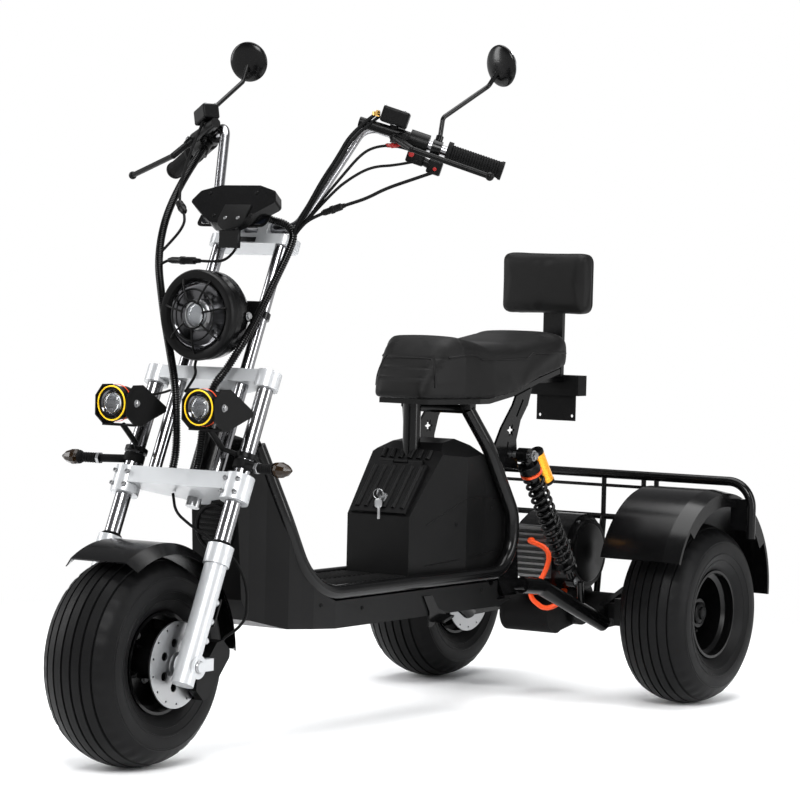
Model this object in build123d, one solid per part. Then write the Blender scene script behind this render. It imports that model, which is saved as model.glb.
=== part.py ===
"""Electric three-wheel scooter: one steered wheel in a double fork, two driven wheels behind.

Millimetres. +Z is up and the ground is Z = 0. The scooter faces -Y, its left side is +X,
and the origin is on the ground under the middle of its bounding box.
Each function builds one sub-component; write_parts() exports one STEP file per node.
"""
import os
from math import atan2, cos, degrees, hypot, radians, sin, tan

from build123d import *

# ---------------------------------------------------------------- driving dimensions
CLEAR = 0.3              # gap between neighbouring pieces that touch
SHAFT_CLEAR = 0.05       # radial clearance of a running shaft
FIT = 0.05               # radial clearance of a clamped or bonded tube
CORD_SHARE = 0.45        # share of a cable's shorter run that its bend takes

WHEEL_R = 215.0          # outer radius of all three tyres
TYRE_W = 180.0
BEAD_R = 104.0           # inner radius of the tyre
BEAD_HALF = 64.0         # half width of the tyre at its bead
SHOULDER_R = 200.0
SHOULDER_HALF = 62.0
WIDEST_R = 158.0         # radius at which the tyre is widest
RIM_HALF = 70.0          # half width of a rim
RIM_WALL = 6.0
DROP_R = 93.0            # outer radius of the drop centre
DROP_HALF = 42.0
WEB_T = 8.0
HUB_R = 34.0

FRONT_AXLE_Y = -850.0
REAR_AXLE_Y = 806.0
REAR_WHEEL_X = 359.0     # half of the rear track
FRONT_AXLE_R = 10.0
REAR_AXLE_R = 14.0

RAKE = 23.9              # lean of the fork from the vertical, degrees
FORK_LEAD = 9.0          # the tubes' axis passes this far in front of the wheel axle
STEM_BACK = 53.0         # steering stem behind the plane of the fork tubes
FORK_HALF = 141.0        # outer fork tubes, half spacing
INNER_HALF = 80.0        # inner tubes, half spacing
STANCHION_R = 17.0
INNER_TUBE_R = 13.5
SLIDER_R = 23.0
COLLAR_R = 27.0
LUG_REACH = 13.0         # mudguard lugs stand this far behind the sliders
SLIDER_FOOT = -38.0      # heights along the fork, from axle level
COLLAR_FOOT = 214.0
COLLAR_TOP = 255.0
LOWER_YOKE_FOOT = 350.0
LOWER_YOKE_TOP = 405.0
MID_YOKE_FOOT = 596.0
MID_YOKE_TOP = 632.0
TOP_PLATE_FOOT = 914.0
TOP_PLATE_TOP = 936.0
STEM_R = 15.0
HEAD_TUBE_R = 27.0
HEAD_GAP = 0.5           # end gap of the head tube at each yoke

FRONT_DISC_R = 87.0
FRONT_DISC_X = 107.0
REAR_DISC_R = 95.0
REAR_DISC_X = 259.0      # from the middle of the scooter
DISC_T = 4.0
CALIPER_GAP = 5.0        # each side of a disc

BAR_R = 11.0             # handlebar tube
BAR_CLAMP_X = 34.0
BAR_FOOT_X = 106.0       # the legs of the bar rise from here
BAR_RISE = 20.0          # bar centre above the top plate
BAR_BEND = (182.0, -340.0, 1312.0)
BAR_SLOPE_Y = 0.584      # the grip part runs this far back and down per mm outwards
BAR_SLOPE_Z = -0.367
BAR_END_X = 427.0
GRIP_R = 17.0
LEVER_TIP = (467.0, -300.0, 1205.0)
MIRROR_RING_X = (303.0, 320.0)
MIRROR_TILT = 12.0
GRIP_START_X = 330.0

FRAME_R = 16.0           # main frame tubes
FRAME_X = 118.0          # their half spacing at the floor
FLOOR_Z = 322.0          # height of their centres at the floor
NECK_X = 66.0            # half spacing of the side tubes at the neck
NECK_Y = -536.0
NECK_Z = 638.0
NECK_BAR_R = 12.0
RAIL_BACK_Y = 392.0      # the side tubes rise here behind the floor
RAIL_TOP = (80.0, 248.0, 697.0)
RAIL_CROSS_R = 10.0
FLOOR_BAR_R = 10.0       # cross tube inside the floor
FLOOR_BAR_Y = 290.0
FLOOR_BAR_Z = 306.0
DECK_Z = 326.0           # top of the foot deck
BELLY_Z = 247.0
BELLY_HALF = 128.0
SHELL_JOIN_Y = -330.0    # the leg shield meets the belly pan here
SHELL_NOSE_HALF = 58.0   # half width of the leg shield at its nose

SEAT_HALF = 127.0
NOSE_HALF = 74.0
SEAT_NOSE_Y = 80.0
SEAT_SHOULDER = 28.0     # rounding of the upper edges
SEAT_CROWN = 3.0
SEAT_TAIL_Y = 647.0
PAN_T = 12.0
BATTERY_HALF = 100.0
BATTERY_NOSE_HALF = 83.0
BATTERY_WIDEST = 104.0
SLOPE_FOOT = (13.0, 463.0)     # (y, z) of the battery cover's sloping front, low end
SLOPE_TOP = (132.0, 606.0)     # and its high end
RIB_R = 6.0
RIB_PITCH = 24.0
RIB_COUNT = 6
LID_HALF = 74.0
LID_T = 8.0
LID_START = 4.0          # along the slope
LID_END = 140.0
HINGE_ALONG = 148.0
HINGE_UP = 6.0
HINGE_R = 5.0
HINGE_PIN_R = 2.5

FENDER_T = 3.5
FRONT_FENDER_R = 240.0
FRONT_FENDER_HALF = 70.0
REAR_FENDER_R = 243.0
REAR_FENDER_Y = 801.0
REAR_FENDER_Z = 267.0
REAR_FENDER_X = 352.0
REAR_SKIRT_R = 204.0

AXLE_TUBE_R = 30.0
AXLE_TUBE_HALF = 235.0
MOTOR_R = 92.0
MOTOR_Y = 735.0
MOTOR_Z = 345.0
SWING_R = 19.0
PIVOT_Y = 392.0
PIVOT_Z = 292.0
PIVOT_R = 12.0

SHOCK_TOP = (145.0, 395.0, 591.0)
SHOCK_EYE = (160.0, 600.0, 287.0)
SPRING_R = 21.0          # middle of the wire
SPRING_WIRE_R = 4.0
SPRING_TURNS = 13

HEADLIGHT_Y = -664.0     # front of the headlight ring
HEADLIGHT_Z = 907.0

HOOP_R = 11.0
HOOP_Y = 860.0
HOOP_Z = 528.0
HOOP_HALF = 492.0
HOOP_FOOT_Z = 395.0
RACK_RAIL_Z = 424.0
RACK_ROD_R = 6.0
RACK_HALF = 235.0

LOW = (Align.CENTER, Align.CENTER, Align.MIN)

rake = radians(RAKE)
FORK_FOOT_Y = FRONT_AXLE_Y - FORK_LEAD
FORK = Plane(origin=(0, FORK_FOOT_Y, WHEEL_R), x_dir=(1, 0, 0), z_dir=(0, sin(rake), cos(rake)))


# ---------------------------------------------------------------- helpers
def fork_point(x, back, up):
    """World point from fork coordinates: sideways, behind the tubes, up along them."""
    return (
        x,
        FORK_FOOT_Y + up * sin(rake) + back * cos(rake),
        WHEEL_R + up * cos(rake) - back * sin(rake),
    )


def on_fork(x, back, up):
    """Plane whose Z runs up along the fork."""
    return FORK * Pos(x, back, up)


def rod(start, end, radius):
    """Round bar between two points."""
    foot = Vector(*start)
    along = Vector(*end) - foot
    return Plane(origin=foot, z_dir=along) * Cylinder(radius, along.length, align=LOW)


def bent_tube(points, radius, bends):
    """Round bar along straight runs joined by tangent arcs."""
    path = FilletPolyline(*points, radius=bends)
    return sweep(Plane(origin=path @ 0, z_dir=path % 0) * Circle(radius), path=path)


def cord(points, radius):
    """Cable through the points: each corner is rounded as far as its shorter run allows."""
    stops = [Vector(*point) for point in points]
    bends = []
    for before, corner, after in zip(stops, stops[1:], stops[2:]):
        arriving = corner - before
        leaving = after - corner
        half_turn = radians(arriving.get_angle(leaving)) / 2
        shorter = min(arriving.length, leaving.length)
        bends.append(CORD_SHARE * shorter / tan(half_turn))
    return bent_tube(points, radius, bends)


def across(outline, x_low, x_high):
    """Prism from an outline of (y, z) corners, from x_low to x_high."""
    face = Plane.YZ.offset(x_low) * make_face(Polyline(*outline, close=True))
    return extrude(face, amount=x_high - x_low, dir=(1, 0, 0))


def upward(outline, z_low, z_high):
    """Prism from an outline of (x, y) corners, from z_low to z_high."""
    face = Plane.XY.offset(z_low) * make_face(Polyline(*outline, close=True))
    return extrude(face, amount=z_high - z_low, dir=(0, 0, 1))


def lengthwise(outline, y_low, y_high):
    """Prism from an outline of (x, z) corners, from y_low to y_high."""
    face = Pos(0, y_low, 0) * Plane.XZ * make_face(Polyline(*outline, close=True))
    return extrude(face, amount=y_high - y_low, dir=(0, 1, 0))


def axle_bar(radius, x_low, x_high, y, z):
    """Cylinder along X."""
    return rod((x_low, y, z), (x_high, y, z), radius)


def block(x_low, x_high, y_low, y_high, z_low, z_high):
    """Box between two corners."""
    size = (x_high - x_low, y_high - y_low, z_high - z_low)
    middle = ((x_high + x_low) / 2, (y_high + y_low) / 2, (z_high + z_low) / 2)
    return Pos(*middle) * Box(*size)


def turned(outline):
    """Solid of revolution about the X axis from (x, radius) corners."""
    return revolve(make_face(Polyline(*outline, close=True)), axis=Axis.X)


def both_sides(part):
    """The part and its mirror image on the other side of the scooter."""
    return part + mirror(part, about=Plane.YZ)


def arched(section, rear_angle, front_angle):
    """Band with a section of (x, radius) corners, swept about the X axis.

    Angles are degrees behind and in front of the top.
    """
    face = Plane.XZ * make_face(Polyline(*section, close=True))
    return revolve(Rot(-rear_angle, 0, 0) * face, axis=Axis.X, revolution_arc=rear_angle + front_angle)


def bar_point(x):
    """Point on the straight outer part of the handlebar, left side for x > 0."""
    out = abs(x) - BAR_BEND[0]
    return (x, BAR_BEND[1] + out * BAR_SLOPE_Y, BAR_BEND[2] + out * BAR_SLOPE_Z)


# ---------------------------------------------------------------- wheels
def tyre():
    """Balloon tyre about the X axis."""
    half = TYRE_W / 2
    outline = [
        Line((-BEAD_HALF, BEAD_R), (BEAD_HALF, BEAD_R)),
        ThreePointArc((BEAD_HALF, BEAD_R), (half, WIDEST_R), (SHOULDER_HALF, SHOULDER_R)),
        ThreePointArc((SHOULDER_HALF, SHOULDER_R), (0, WHEEL_R), (-SHOULDER_HALF, SHOULDER_R)),
        ThreePointArc((-SHOULDER_HALF, SHOULDER_R), (-half, WIDEST_R), (-BEAD_HALF, BEAD_R)),
    ]
    return revolve(make_face(outline), axis=Axis.X)


def rim(web_x, hub_low, hub_high, bore_r):
    """Deep rim about the X axis: stepped barrel, web disc and hub."""
    outer = BEAD_R - CLEAR
    step = 6.0
    barrel = turned([
        (-RIM_HALF, outer),
        (-DROP_HALF - step, outer),
        (-DROP_HALF, DROP_R),
        (DROP_HALF, DROP_R),
        (DROP_HALF + step, outer),
        (RIM_HALF, outer),
        (RIM_HALF, outer - RIM_WALL),
        (DROP_HALF + step, outer - RIM_WALL),
        (DROP_HALF, DROP_R - RIM_WALL),
        (-DROP_HALF, DROP_R - RIM_WALL),
        (-DROP_HALF - step, outer - RIM_WALL),
        (-RIM_HALF, outer - RIM_WALL),
    ])
    web = axle_bar(DROP_R - RIM_WALL / 2, web_x, web_x + WEB_T, 0, 0)
    hub = axle_bar(HUB_R, hub_low, hub_high, 0, 0)
    return barrel + web + hub - axle_bar(bore_r, hub_low - 1, hub_high + 1, 0, 0)


def brake_disc(outer_r, inner_r):
    """Brake disc about the X axis with its windows and cooling holes."""
    disc = axle_bar(outer_r, -DISC_T / 2, DISC_T / 2, 0, 0)
    disc -= axle_bar(inner_r, -DISC_T, DISC_T, 0, 0)
    window_r = (outer_r + inner_r) / 2 - 5
    for n in range(7):
        angle = radians(360 / 7 * n)
        disc -= axle_bar(9, -DISC_T, DISC_T, window_r * cos(angle), window_r * sin(angle))
    for n in range(14):
        angle = radians(360 / 14 * (n + 0.5))
        hole_r = outer_r - 9
        disc -= axle_bar(2.5, -DISC_T, DISC_T, hole_r * cos(angle), hole_r * sin(angle))
    return disc


def front_wheel():
    place = Pos(0, FRONT_AXLE_Y, WHEEL_R)
    hub_end = FRONT_DISC_X - DISC_T / 2
    hub = rim(-WEB_T / 2, -hub_end, hub_end, FRONT_AXLE_R + SHAFT_CLEAR)
    disc = Pos(FRONT_DISC_X, 0, 0) * brake_disc(FRONT_DISC_R, FRONT_AXLE_R + 4)
    return {"front_tyre": place * tyre(), "front_rim": place * hub, "front_disc": place * disc}


def rear_wheel(side):
    """Rear wheel; side is +1 for the left one and -1 for the right one."""
    hub_low = REAR_DISC_X + DISC_T / 2 - REAR_WHEEL_X
    wheel = rim(-22, hub_low, 30, REAR_AXLE_R + SHAFT_CLEAR)
    disc = Pos(REAR_DISC_X - REAR_WHEEL_X, 0, 0) * brake_disc(REAR_DISC_R, REAR_AXLE_R + 4)
    name = "left" if side > 0 else "right"
    nodes = {}
    for kind, shape in (("tyre", tyre()), ("rim", wheel), ("disc", disc)):
        placed = Pos(REAR_WHEEL_X, REAR_AXLE_Y, WHEEL_R) * shape
        nodes[f"rear_{kind}_{name}"] = placed if side > 0 else mirror(placed, about=Plane.YZ)
    return nodes


# ---------------------------------------------------------------- fork
def yoke(foot, top, clamp_r, web_foot, web_front, holes):
    """Fork yoke: clamp rings, a web and the ring of the steering stem."""
    height = top - foot
    outline = [
        (-FORK_HALF, -web_front),
        (FORK_HALF, -web_front),
        (FORK_HALF, web_front * 0.6),
        (34, STEM_BACK + 8),
        (-34, STEM_BACK + 8),
        (-FORK_HALF, web_front * 0.6),
    ]
    web = FORK * upward(outline, web_foot, top)
    body = web + on_fork(0, STEM_BACK, web_foot) * Cylinder(34, top - web_foot, align=LOW)
    for side in (-1, 1):
        body += on_fork(side * FORK_HALF, 0, foot) * Cylinder(clamp_r, height, align=LOW)
    for x, back, radius in holes:
        body -= on_fork(x, back, foot - 1) * Cylinder(radius + FIT, height + 2, align=LOW)
    return body


def lower_yoke():
    holes = [(side * FORK_HALF, 0, STANCHION_R) for side in (-1, 1)]
    holes.append((0, STEM_BACK, STEM_R))
    return yoke(LOWER_YOKE_FOOT, LOWER_YOKE_TOP, 30, LOWER_YOKE_TOP - 36, 24, holes)


def mid_yoke():
    holes = [(side * FORK_HALF, 0, STANCHION_R) for side in (-1, 1)]
    holes += [(side * INNER_HALF, 0, INNER_TUBE_R) for side in (-1, 1)]
    holes.append((0, STEM_BACK, STEM_R))
    return yoke(MID_YOKE_FOOT, MID_YOKE_TOP, 26, MID_YOKE_FOOT + 8, 20, holes)


def top_plate():
    """Top plate with the two handlebar clamps standing on it."""
    height = TOP_PLATE_TOP - TOP_PLATE_FOOT
    plate = extrude(RectangleRounded(2 * INNER_HALF + 52, 62, 24), height)
    body = on_fork(0, 12, TOP_PLATE_FOOT) * plate
    clamp_size = 2 * (BAR_R + 8)
    for side in (-1, 1):
        clamp = Box(24, clamp_size, clamp_size, align=LOW)
        body += on_fork(side * BAR_CLAMP_X, 0, TOP_PLATE_TOP) * clamp
        hole = Cylinder(INNER_TUBE_R + FIT, height + 2, align=LOW)
        body -= on_fork(side * INNER_HALF, 0, TOP_PLATE_FOOT - 1) * hole
    centre = fork_point(0, 0, TOP_PLATE_TOP + BAR_RISE)
    return body - axle_bar(BAR_R + FIT, -BAR_CLAMP_X - 20, BAR_CLAMP_X + 20, centre[1], centre[2])


def steering_stem():
    length = MID_YOKE_TOP + 4 - LOWER_YOKE_FOOT
    return on_fork(0, STEM_BACK, LOWER_YOKE_FOOT) * Cylinder(STEM_R, length, align=LOW)


def fork_tubes():
    """Outer stanchions and the inner tubes that carry the top plate."""
    outer = on_fork(FORK_HALF, 0, COLLAR_TOP) * Cylinder(
        STANCHION_R, MID_YOKE_TOP + 3 - COLLAR_TOP, align=LOW)
    inner = on_fork(INNER_HALF, 0, LOWER_YOKE_TOP) * Cylinder(
        INNER_TUBE_R, TOP_PLATE_TOP - LOWER_YOKE_TOP, align=LOW)
    return both_sides(outer) + both_sides(inner)


def fork_sliders():
    """Both sliders with their collars, mudguard lugs and axle clamps, and the front axle."""
    slider = on_fork(FORK_HALF, 0, SLIDER_FOOT) * Cylinder(SLIDER_R, COLLAR_TOP - SLIDER_FOOT, align=LOW)
    collar = Cylinder(COLLAR_R, COLLAR_TOP - COLLAR_FOOT, align=LOW)
    slider += on_fork(FORK_HALF, 0, COLLAR_FOOT) * collar
    for up in (66, 106, 146):
        start = fork_point(FORK_HALF, SLIDER_R - 6, up)
        end = fork_point(FORK_HALF, SLIDER_R + LUG_REACH, up)
        slider += rod(start, end, 7)
    inner_x = FORK_HALF - SLIDER_R
    outer_x = FORK_HALF + SLIDER_R
    clamp = axle_bar(24, inner_x + 1, outer_x - 1, FRONT_AXLE_Y, WHEEL_R)
    pinch = block(FORK_HALF + 7, outer_x - 2, FRONT_AXLE_Y + 12, FRONT_AXLE_Y + 50, WHEEL_R - 11, WHEEL_R + 13)
    axle = axle_bar(FRONT_AXLE_R, -outer_x - 6, outer_x + 6, FRONT_AXLE_Y, WHEEL_R)
    return both_sides(slider + clamp + pinch) + axle


def front_fender():
    """Mudguard close over the front tyre, with a strap to the two upper lugs of each slider."""
    inner_r = FRONT_FENDER_R - FENDER_T
    skirt_half = FRONT_FENDER_HALF + 22
    skirt_r = FRONT_FENDER_R - 22
    section = [
        (-FRONT_FENDER_HALF, FRONT_FENDER_R),
        (FRONT_FENDER_HALF, FRONT_FENDER_R),
        (skirt_half, skirt_r),
        (skirt_half - FENDER_T, skirt_r),
        (FRONT_FENDER_HALF - 1, inner_r),
        (1 - FRONT_FENDER_HALF, inner_r),
        (FENDER_T - skirt_half, skirt_r),
        (-skirt_half, skirt_r),
    ]
    band = Pos(0, FRONT_AXLE_Y, WHEEL_R) * arched(section, 88, 30)
    arm_x = TYRE_W / 2 + 6
    strap_back = SLIDER_R + LUG_REACH + CLEAR
    strap_low = 98
    strap_high = 156
    strap_width = FORK_HALF + 8 - arm_x
    strap = on_fork(arm_x + strap_width / 2, strap_back + 2, strap_low) * Box(
        strap_width, 4, strap_high - strap_low, align=LOW)
    arm = across([fork_point(0, strap_back, strap_low)[1:], (-712, 386), (-728, 398),
                  fork_point(0, strap_back, strap_high)[1:]], arm_x, arm_x + 4)
    arm += axle_bar(6, skirt_half - 3, arm_x + 4, -721, 391)
    return band + both_sides(arm + strap)


def front_caliper():
    """Brake caliper with a slot for the disc, on a bracket behind the left slider."""
    slot_half = DISC_T / 2 + CALIPER_GAP
    lean = atan2(114, 104)
    corners = []
    for along, over in ((-64, -18), (-52, -27), (52, -27), (64, -18), (64, 14), (48, 27), (-48, 27), (-64, 14)):
        corners.append((FRONT_AXLE_Y + 85 + along * cos(lean) - over * sin(lean),
                        WHEEL_R - 15 + along * sin(lean) + over * cos(lean)))
    body = across(corners, TYRE_W / 2 + 5.5, FRONT_DISC_X + 27)
    slot = axle_bar(FRONT_DISC_R + CALIPER_GAP, FRONT_DISC_X - slot_half, FRONT_DISC_X + slot_half,
                    FRONT_AXLE_Y, WHEEL_R)
    bracket = block(FRONT_DISC_X + slot_half + 4, FORK_HALF + 4, FRONT_AXLE_Y + 20, FRONT_AXLE_Y + 80,
                    WHEEL_R - 18, WHEEL_R + 10)
    bracket -= axle_bar(24 + CLEAR, 0, 200, FRONT_AXLE_Y, WHEEL_R)
    bracket -= on_fork(FORK_HALF, 0, SLIDER_FOOT) * Cylinder(SLIDER_R + CLEAR, 200, align=LOW)
    return body - slot + bracket


# ---------------------------------------------------------------- handlebar and controls
def handlebar():
    """One chromed tube: centre part in the clamps, two rising legs and two grip parts."""
    centre = fork_point(0, 0, TOP_PLATE_TOP + BAR_RISE)
    left = [(BAR_FOOT_X, centre[1], centre[2]), BAR_BEND, bar_point(BAR_END_X - 3)]
    right = [(-x, y, z) for x, y, z in reversed(left)]
    return bent_tube(right + left, BAR_R, [40, 30, 30, 40])


def grips():
    """Rubber grips with a flange at each end."""
    grip = rod(bar_point(GRIP_START_X), bar_point(BAR_END_X + 5), GRIP_R)
    flange = rod(bar_point(GRIP_START_X), bar_point(GRIP_START_X + 8), GRIP_R + 6)
    flange += rod(bar_point(BAR_END_X), bar_point(BAR_END_X + 5), GRIP_R + 3)
    bore = rod(bar_point(GRIP_START_X - 5), bar_point(BAR_END_X - 3), BAR_R + FIT)
    return both_sides(grip + flange - bore)


def bar_box(centre, length, depth, height):
    """Box at a world point, turned so that its length follows the left grip part of the bar."""
    run = Vector(1, BAR_SLOPE_Y, BAR_SLOPE_Z).normalized()
    up = Vector(0, 0, 1) - run * run.Z
    return Plane(origin=centre, x_dir=run, z_dir=up) * Box(length, depth, height)


def master_cylinder(reservoir, pivot, knee):
    """Hydraulic lever unit of the left side: cylinder before the bar, reservoir, clamp and lever."""
    foot = (187, -370, 1316)
    end = (279, -324, 1286)
    unit = rod(foot, end, 11)
    unit += rod(bar_point(232), bar_point(250), BAR_R + 8)
    unit += rod(bar_point(241), (237, -345, 1300), 9)
    cup = bar_box(reservoir, 58, 38, 34)
    unit += fillet(cup.edges(), 5)
    unit += rod((reservoir[0], reservoir[1] + 2, reservoir[2]), (reservoir[0] - 6, -338, 1296), 9)
    unit += rod(end, pivot, 9) + rod(pivot, knee, 7) + rod(knee, LEVER_TIP, 6)
    return unit + Pos(*pivot) * Sphere(9) + Pos(*knee) * Sphere(7) + Pos(*LEVER_TIP) * Sphere(9)


def switch_housing():
    """Switch housing on the left part of the bar, just inside the grip."""
    housing = rod(bar_point(262), bar_point(296), BAR_R + 11)
    return housing + rod(bar_point(279), (280, -298, 1250), 13)


def controls_left():
    """Brake master cylinder with lever, and two switch boxes hanging under the bar."""
    unit = master_cylinder((257, -340, 1326), (262, -352, 1284), (322, -374, 1258)) + switch_housing()
    unit += rod(bar_point(245), bar_point(268), BAR_R + 4)
    boxes = bar_box((284, -300, 1245), 38, 30, 30) + bar_box((322, -286, 1224), 30, 28, 30)
    unit += fillet(boxes.edges(), 4)
    unit += rod((284, -300, 1245), (322, -286, 1224), 9)
    bore = rod(bar_point(200), bar_point(GRIP_START_X), BAR_R + FIT)
    return unit - bore


def controls_right():
    """The right side's lever unit, with a throttle housing in place of the switch boxes."""
    unit = master_cylinder((235, -340, 1335), (290, -334, 1272), (300, -371, 1245)) + switch_housing()
    unit += rod(bar_point(245), bar_point(268), BAR_R + 4)
    unit += rod(bar_point(252), (246, -334, 1262), 12)
    bore = rod(bar_point(200), bar_point(GRIP_START_X), BAR_R + FIT)
    return mirror(unit - bore, about=Plane.YZ)


def mirror_arm(side, base, knee, joint, head, turn):
    """Rear-view mirror: ring on the bar, foot, bent stem and oval head."""
    ring = rod(bar_point(side * MIRROR_RING_X[0]), bar_point(side * MIRROR_RING_X[1]), BAR_R + 6)
    middle = bar_point(side * sum(MIRROR_RING_X) / 2)
    foot = rod(middle, base, 8) + Pos(*base) * Sphere(8)
    bore = rod(bar_point(side * 290), bar_point(side * 345), BAR_R + FIT)
    stem = bent_tube([base, knee, joint, head], 5, [18, 14])
    shell = Pos(*head) * Rot(MIRROR_TILT, 0, turn) * scale(Sphere(1), by=(44, 12, 45))
    return ring + foot - bore + stem + shell


def mirrors():
    right = mirror_arm(-1, (-308, -262, 1300), (-304, -250, 1340), (-294, -132, 1420), (-302, -100, 1467), 15.6)
    left = mirror_arm(1, (312, -252, 1290), (309, -238, 1330), (341, -112, 1404), (364, -100, 1447), -15.6)
    return right + left


def display():
    """Instrument pod leaning back in front of the handlebar, on a bracket from the top plate."""
    outline = [(-110, 4), (-96, 33), (-50, 48), (50, 48), (96, 33), (110, 4), (60, -34), (32, -52),
               (-32, -52), (-60, -34)]
    face = make_face(Polyline(*outline, close=True))
    face = fillet(face.vertices(), 9)
    lean = 38
    pod = Pos(0, -545, 1131) * Rot(90 - lean, 0, 0) * extrude(face, 13, both=True)
    seat_low = fork_point(0, -19 - CLEAR, TOP_PLATE_FOOT + 2)
    seat_high = fork_point(0, -19 - CLEAR, TOP_PLATE_FOOT + 13)
    stalk = block(-24, 24, -566, -556, 1046, 1112)
    hook = across([(-566, seat_low[2]), seat_low[1:], seat_high[1:], (-566, seat_high[2])], -24, 24)
    return pod + stalk + hook


# ---------------------------------------------------------------- lamps
def lamp_bowl(extra):
    """Outside of the headlight bowl about the Y axis, grown by extra."""
    y_front = HEADLIGHT_Y
    profile = [(0, y_front - extra), (80, y_front - extra), (88 + extra, y_front + 6),
               (92 + extra, y_front + 28), (90 + extra, y_front + 50), (76 + extra, y_front + 74),
               (44 + extra, y_front + 88 + extra), (0, y_front + 88 + extra)]
    return Pos(0, 0, HEADLIGHT_Z) * revolve(make_face(Polyline(*profile, close=True)), axis=Axis.Y)


def headlight():
    """Round lamp with a deep front ring."""
    mouth = rod((0, HEADLIGHT_Y - 1, HEADLIGHT_Z), (0, HEADLIGHT_Y + 14, HEADLIGHT_Z), 72)
    return lamp_bowl(0) - mouth


def headlight_bracket():
    """Cross plate clamped to the inner tubes, with the stub that carries the lamp bowl."""
    up = 757
    plate = on_fork(0, -INNER_TUBE_R - 8, up) * Box(2 * INNER_HALF + 20, 5, 46)
    body = plate
    for side in (-1, 1):
        body += on_fork(side * INNER_HALF, 0, up) * Cylinder(INNER_TUBE_R + 4, 14)
        body += on_fork(side * INNER_HALF, -INNER_TUBE_R - 2, up) * Box(20, 12, 14)
        body -= on_fork(side * INNER_HALF, 0, up - 30) * Cylinder(INNER_TUBE_R + FIT, 60, align=LOW)
    return body - lamp_bowl(CLEAR)


def fog_lights():
    """Two round auxiliary lamps between six-sided cheeks, clamped above the indicators."""
    x = 111
    y_front = -800
    z = 725
    profile = [(0, y_front + 10), (27, y_front + 10), (29, y_front), (35, y_front), (37, y_front + 8),
               (34, y_front + 14), (34, y_front + 40), (24, y_front + 76), (0, y_front + 76)]
    lamp = Pos(x, 0, z) * revolve(make_face(Polyline(*profile, close=True)), axis=Axis.Y)
    cheek = [(-802, 740), (-780, 762), (-750, 762), (-672, 716), (-672, 706), (-745, 682), (-778, 682), (-802, 700)]
    cheek_x = 38.5
    cheek_t = 3
    holder = block(x - cheek_x - cheek_t, x + cheek_x + cheek_t, -778, -748, 678, 682)
    for low in (x - cheek_x - cheek_t, x + cheek_x):
        holder += across(cheek, low, low + cheek_t)
    holder += axle_bar(5, x - cheek_x - 1, x - 28, y_front + 30, z)
    holder += axle_bar(5, x + 28, x + cheek_x + 1, y_front + 30, z)
    clamp_up = LOWER_YOKE_TOP + 36
    arm_end = fork_point(x, -STANCHION_R - 26, clamp_up + 5)
    clamp = on_fork(FORK_HALF, 0, clamp_up) * Cylinder(STANCHION_R + 7, 10, align=LOW)
    arm = rod(fork_point(FORK_HALF, 0, clamp_up + 5), arm_end, 5)
    post = rod(arm_end, (x, -762, 680), 6)
    post += Pos(*arm_end) * Sphere(6)
    bore = on_fork(FORK_HALF, 0, clamp_up - 20) * Cylinder(STANCHION_R + FIT, 50, align=LOW)
    return both_sides(lamp + holder + clamp + arm + post - bore)


def indicators():
    """Turn signals on stalks clamped to the stanchions."""
    clamp_up = LOWER_YOKE_TOP + 16
    clamp = on_fork(FORK_HALF, 0, clamp_up) * Cylinder(STANCHION_R + 7, 12, align=LOW)
    start = fork_point(FORK_HALF, -10, clamp_up + 6)
    base = (200, -722, start[2] - 3)
    tip = (294, -732, base[2])
    stalk = rod(start, base, 8)
    along = Vector(*tip) - Vector(*base)
    lens_outline = [(0, 0), (10, 0), (19.5, 36), (19.5, 40), (12, 82), (3, along.length), (0, along.length)]
    lens = revolve(make_face(Polyline(*lens_outline, close=True)), axis=Axis.Y)
    heading = degrees(atan2(along.Y, along.X)) - 90
    lens = Pos(*base) * Rot(0, 0, heading) * lens
    bore = on_fork(FORK_HALF, 0, clamp_up - 20) * Cylinder(STANCHION_R + FIT, 50, align=LOW)
    return both_sides(clamp + stalk + lens - bore)


# ---------------------------------------------------------------- frame and body
def frame_path():
    """Centre line of the left frame tube, from the neck round the floor to the seat."""
    return [
        (NECK_X, NECK_Y, NECK_Z),
        (100, -478, 484),
        (FRAME_X, -405, FLOOR_Z),
        (FRAME_X, RAIL_BACK_Y, FLOOR_Z),
        (FRAME_X, RAIL_BACK_Y, 455),
        (106, 300, 610),
        RAIL_TOP,
    ]


def side_tubes(radius):
    """Both frame tubes, with any radius round their common centre line."""
    left = bent_tube(frame_path(), radius, [200, 150, 90, 88, 200])
    return both_sides(left)


def neck_gusset(gap):
    """Plate stack and cross bar between the head tube and the side tubes, grown by gap."""
    gusset = across([(-612 - gap, 590 - gap), (-592, 665 + gap), (NECK_Y, NECK_Z + 14 + gap), (NECK_Y + 6 + gap, 618),
                     (-548, 590 - gap)], -30 - gap, 30 + gap)
    return gusset + axle_bar(NECK_BAR_R + gap, -NECK_X, NECK_X, NECK_Y, NECK_Z)


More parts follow.
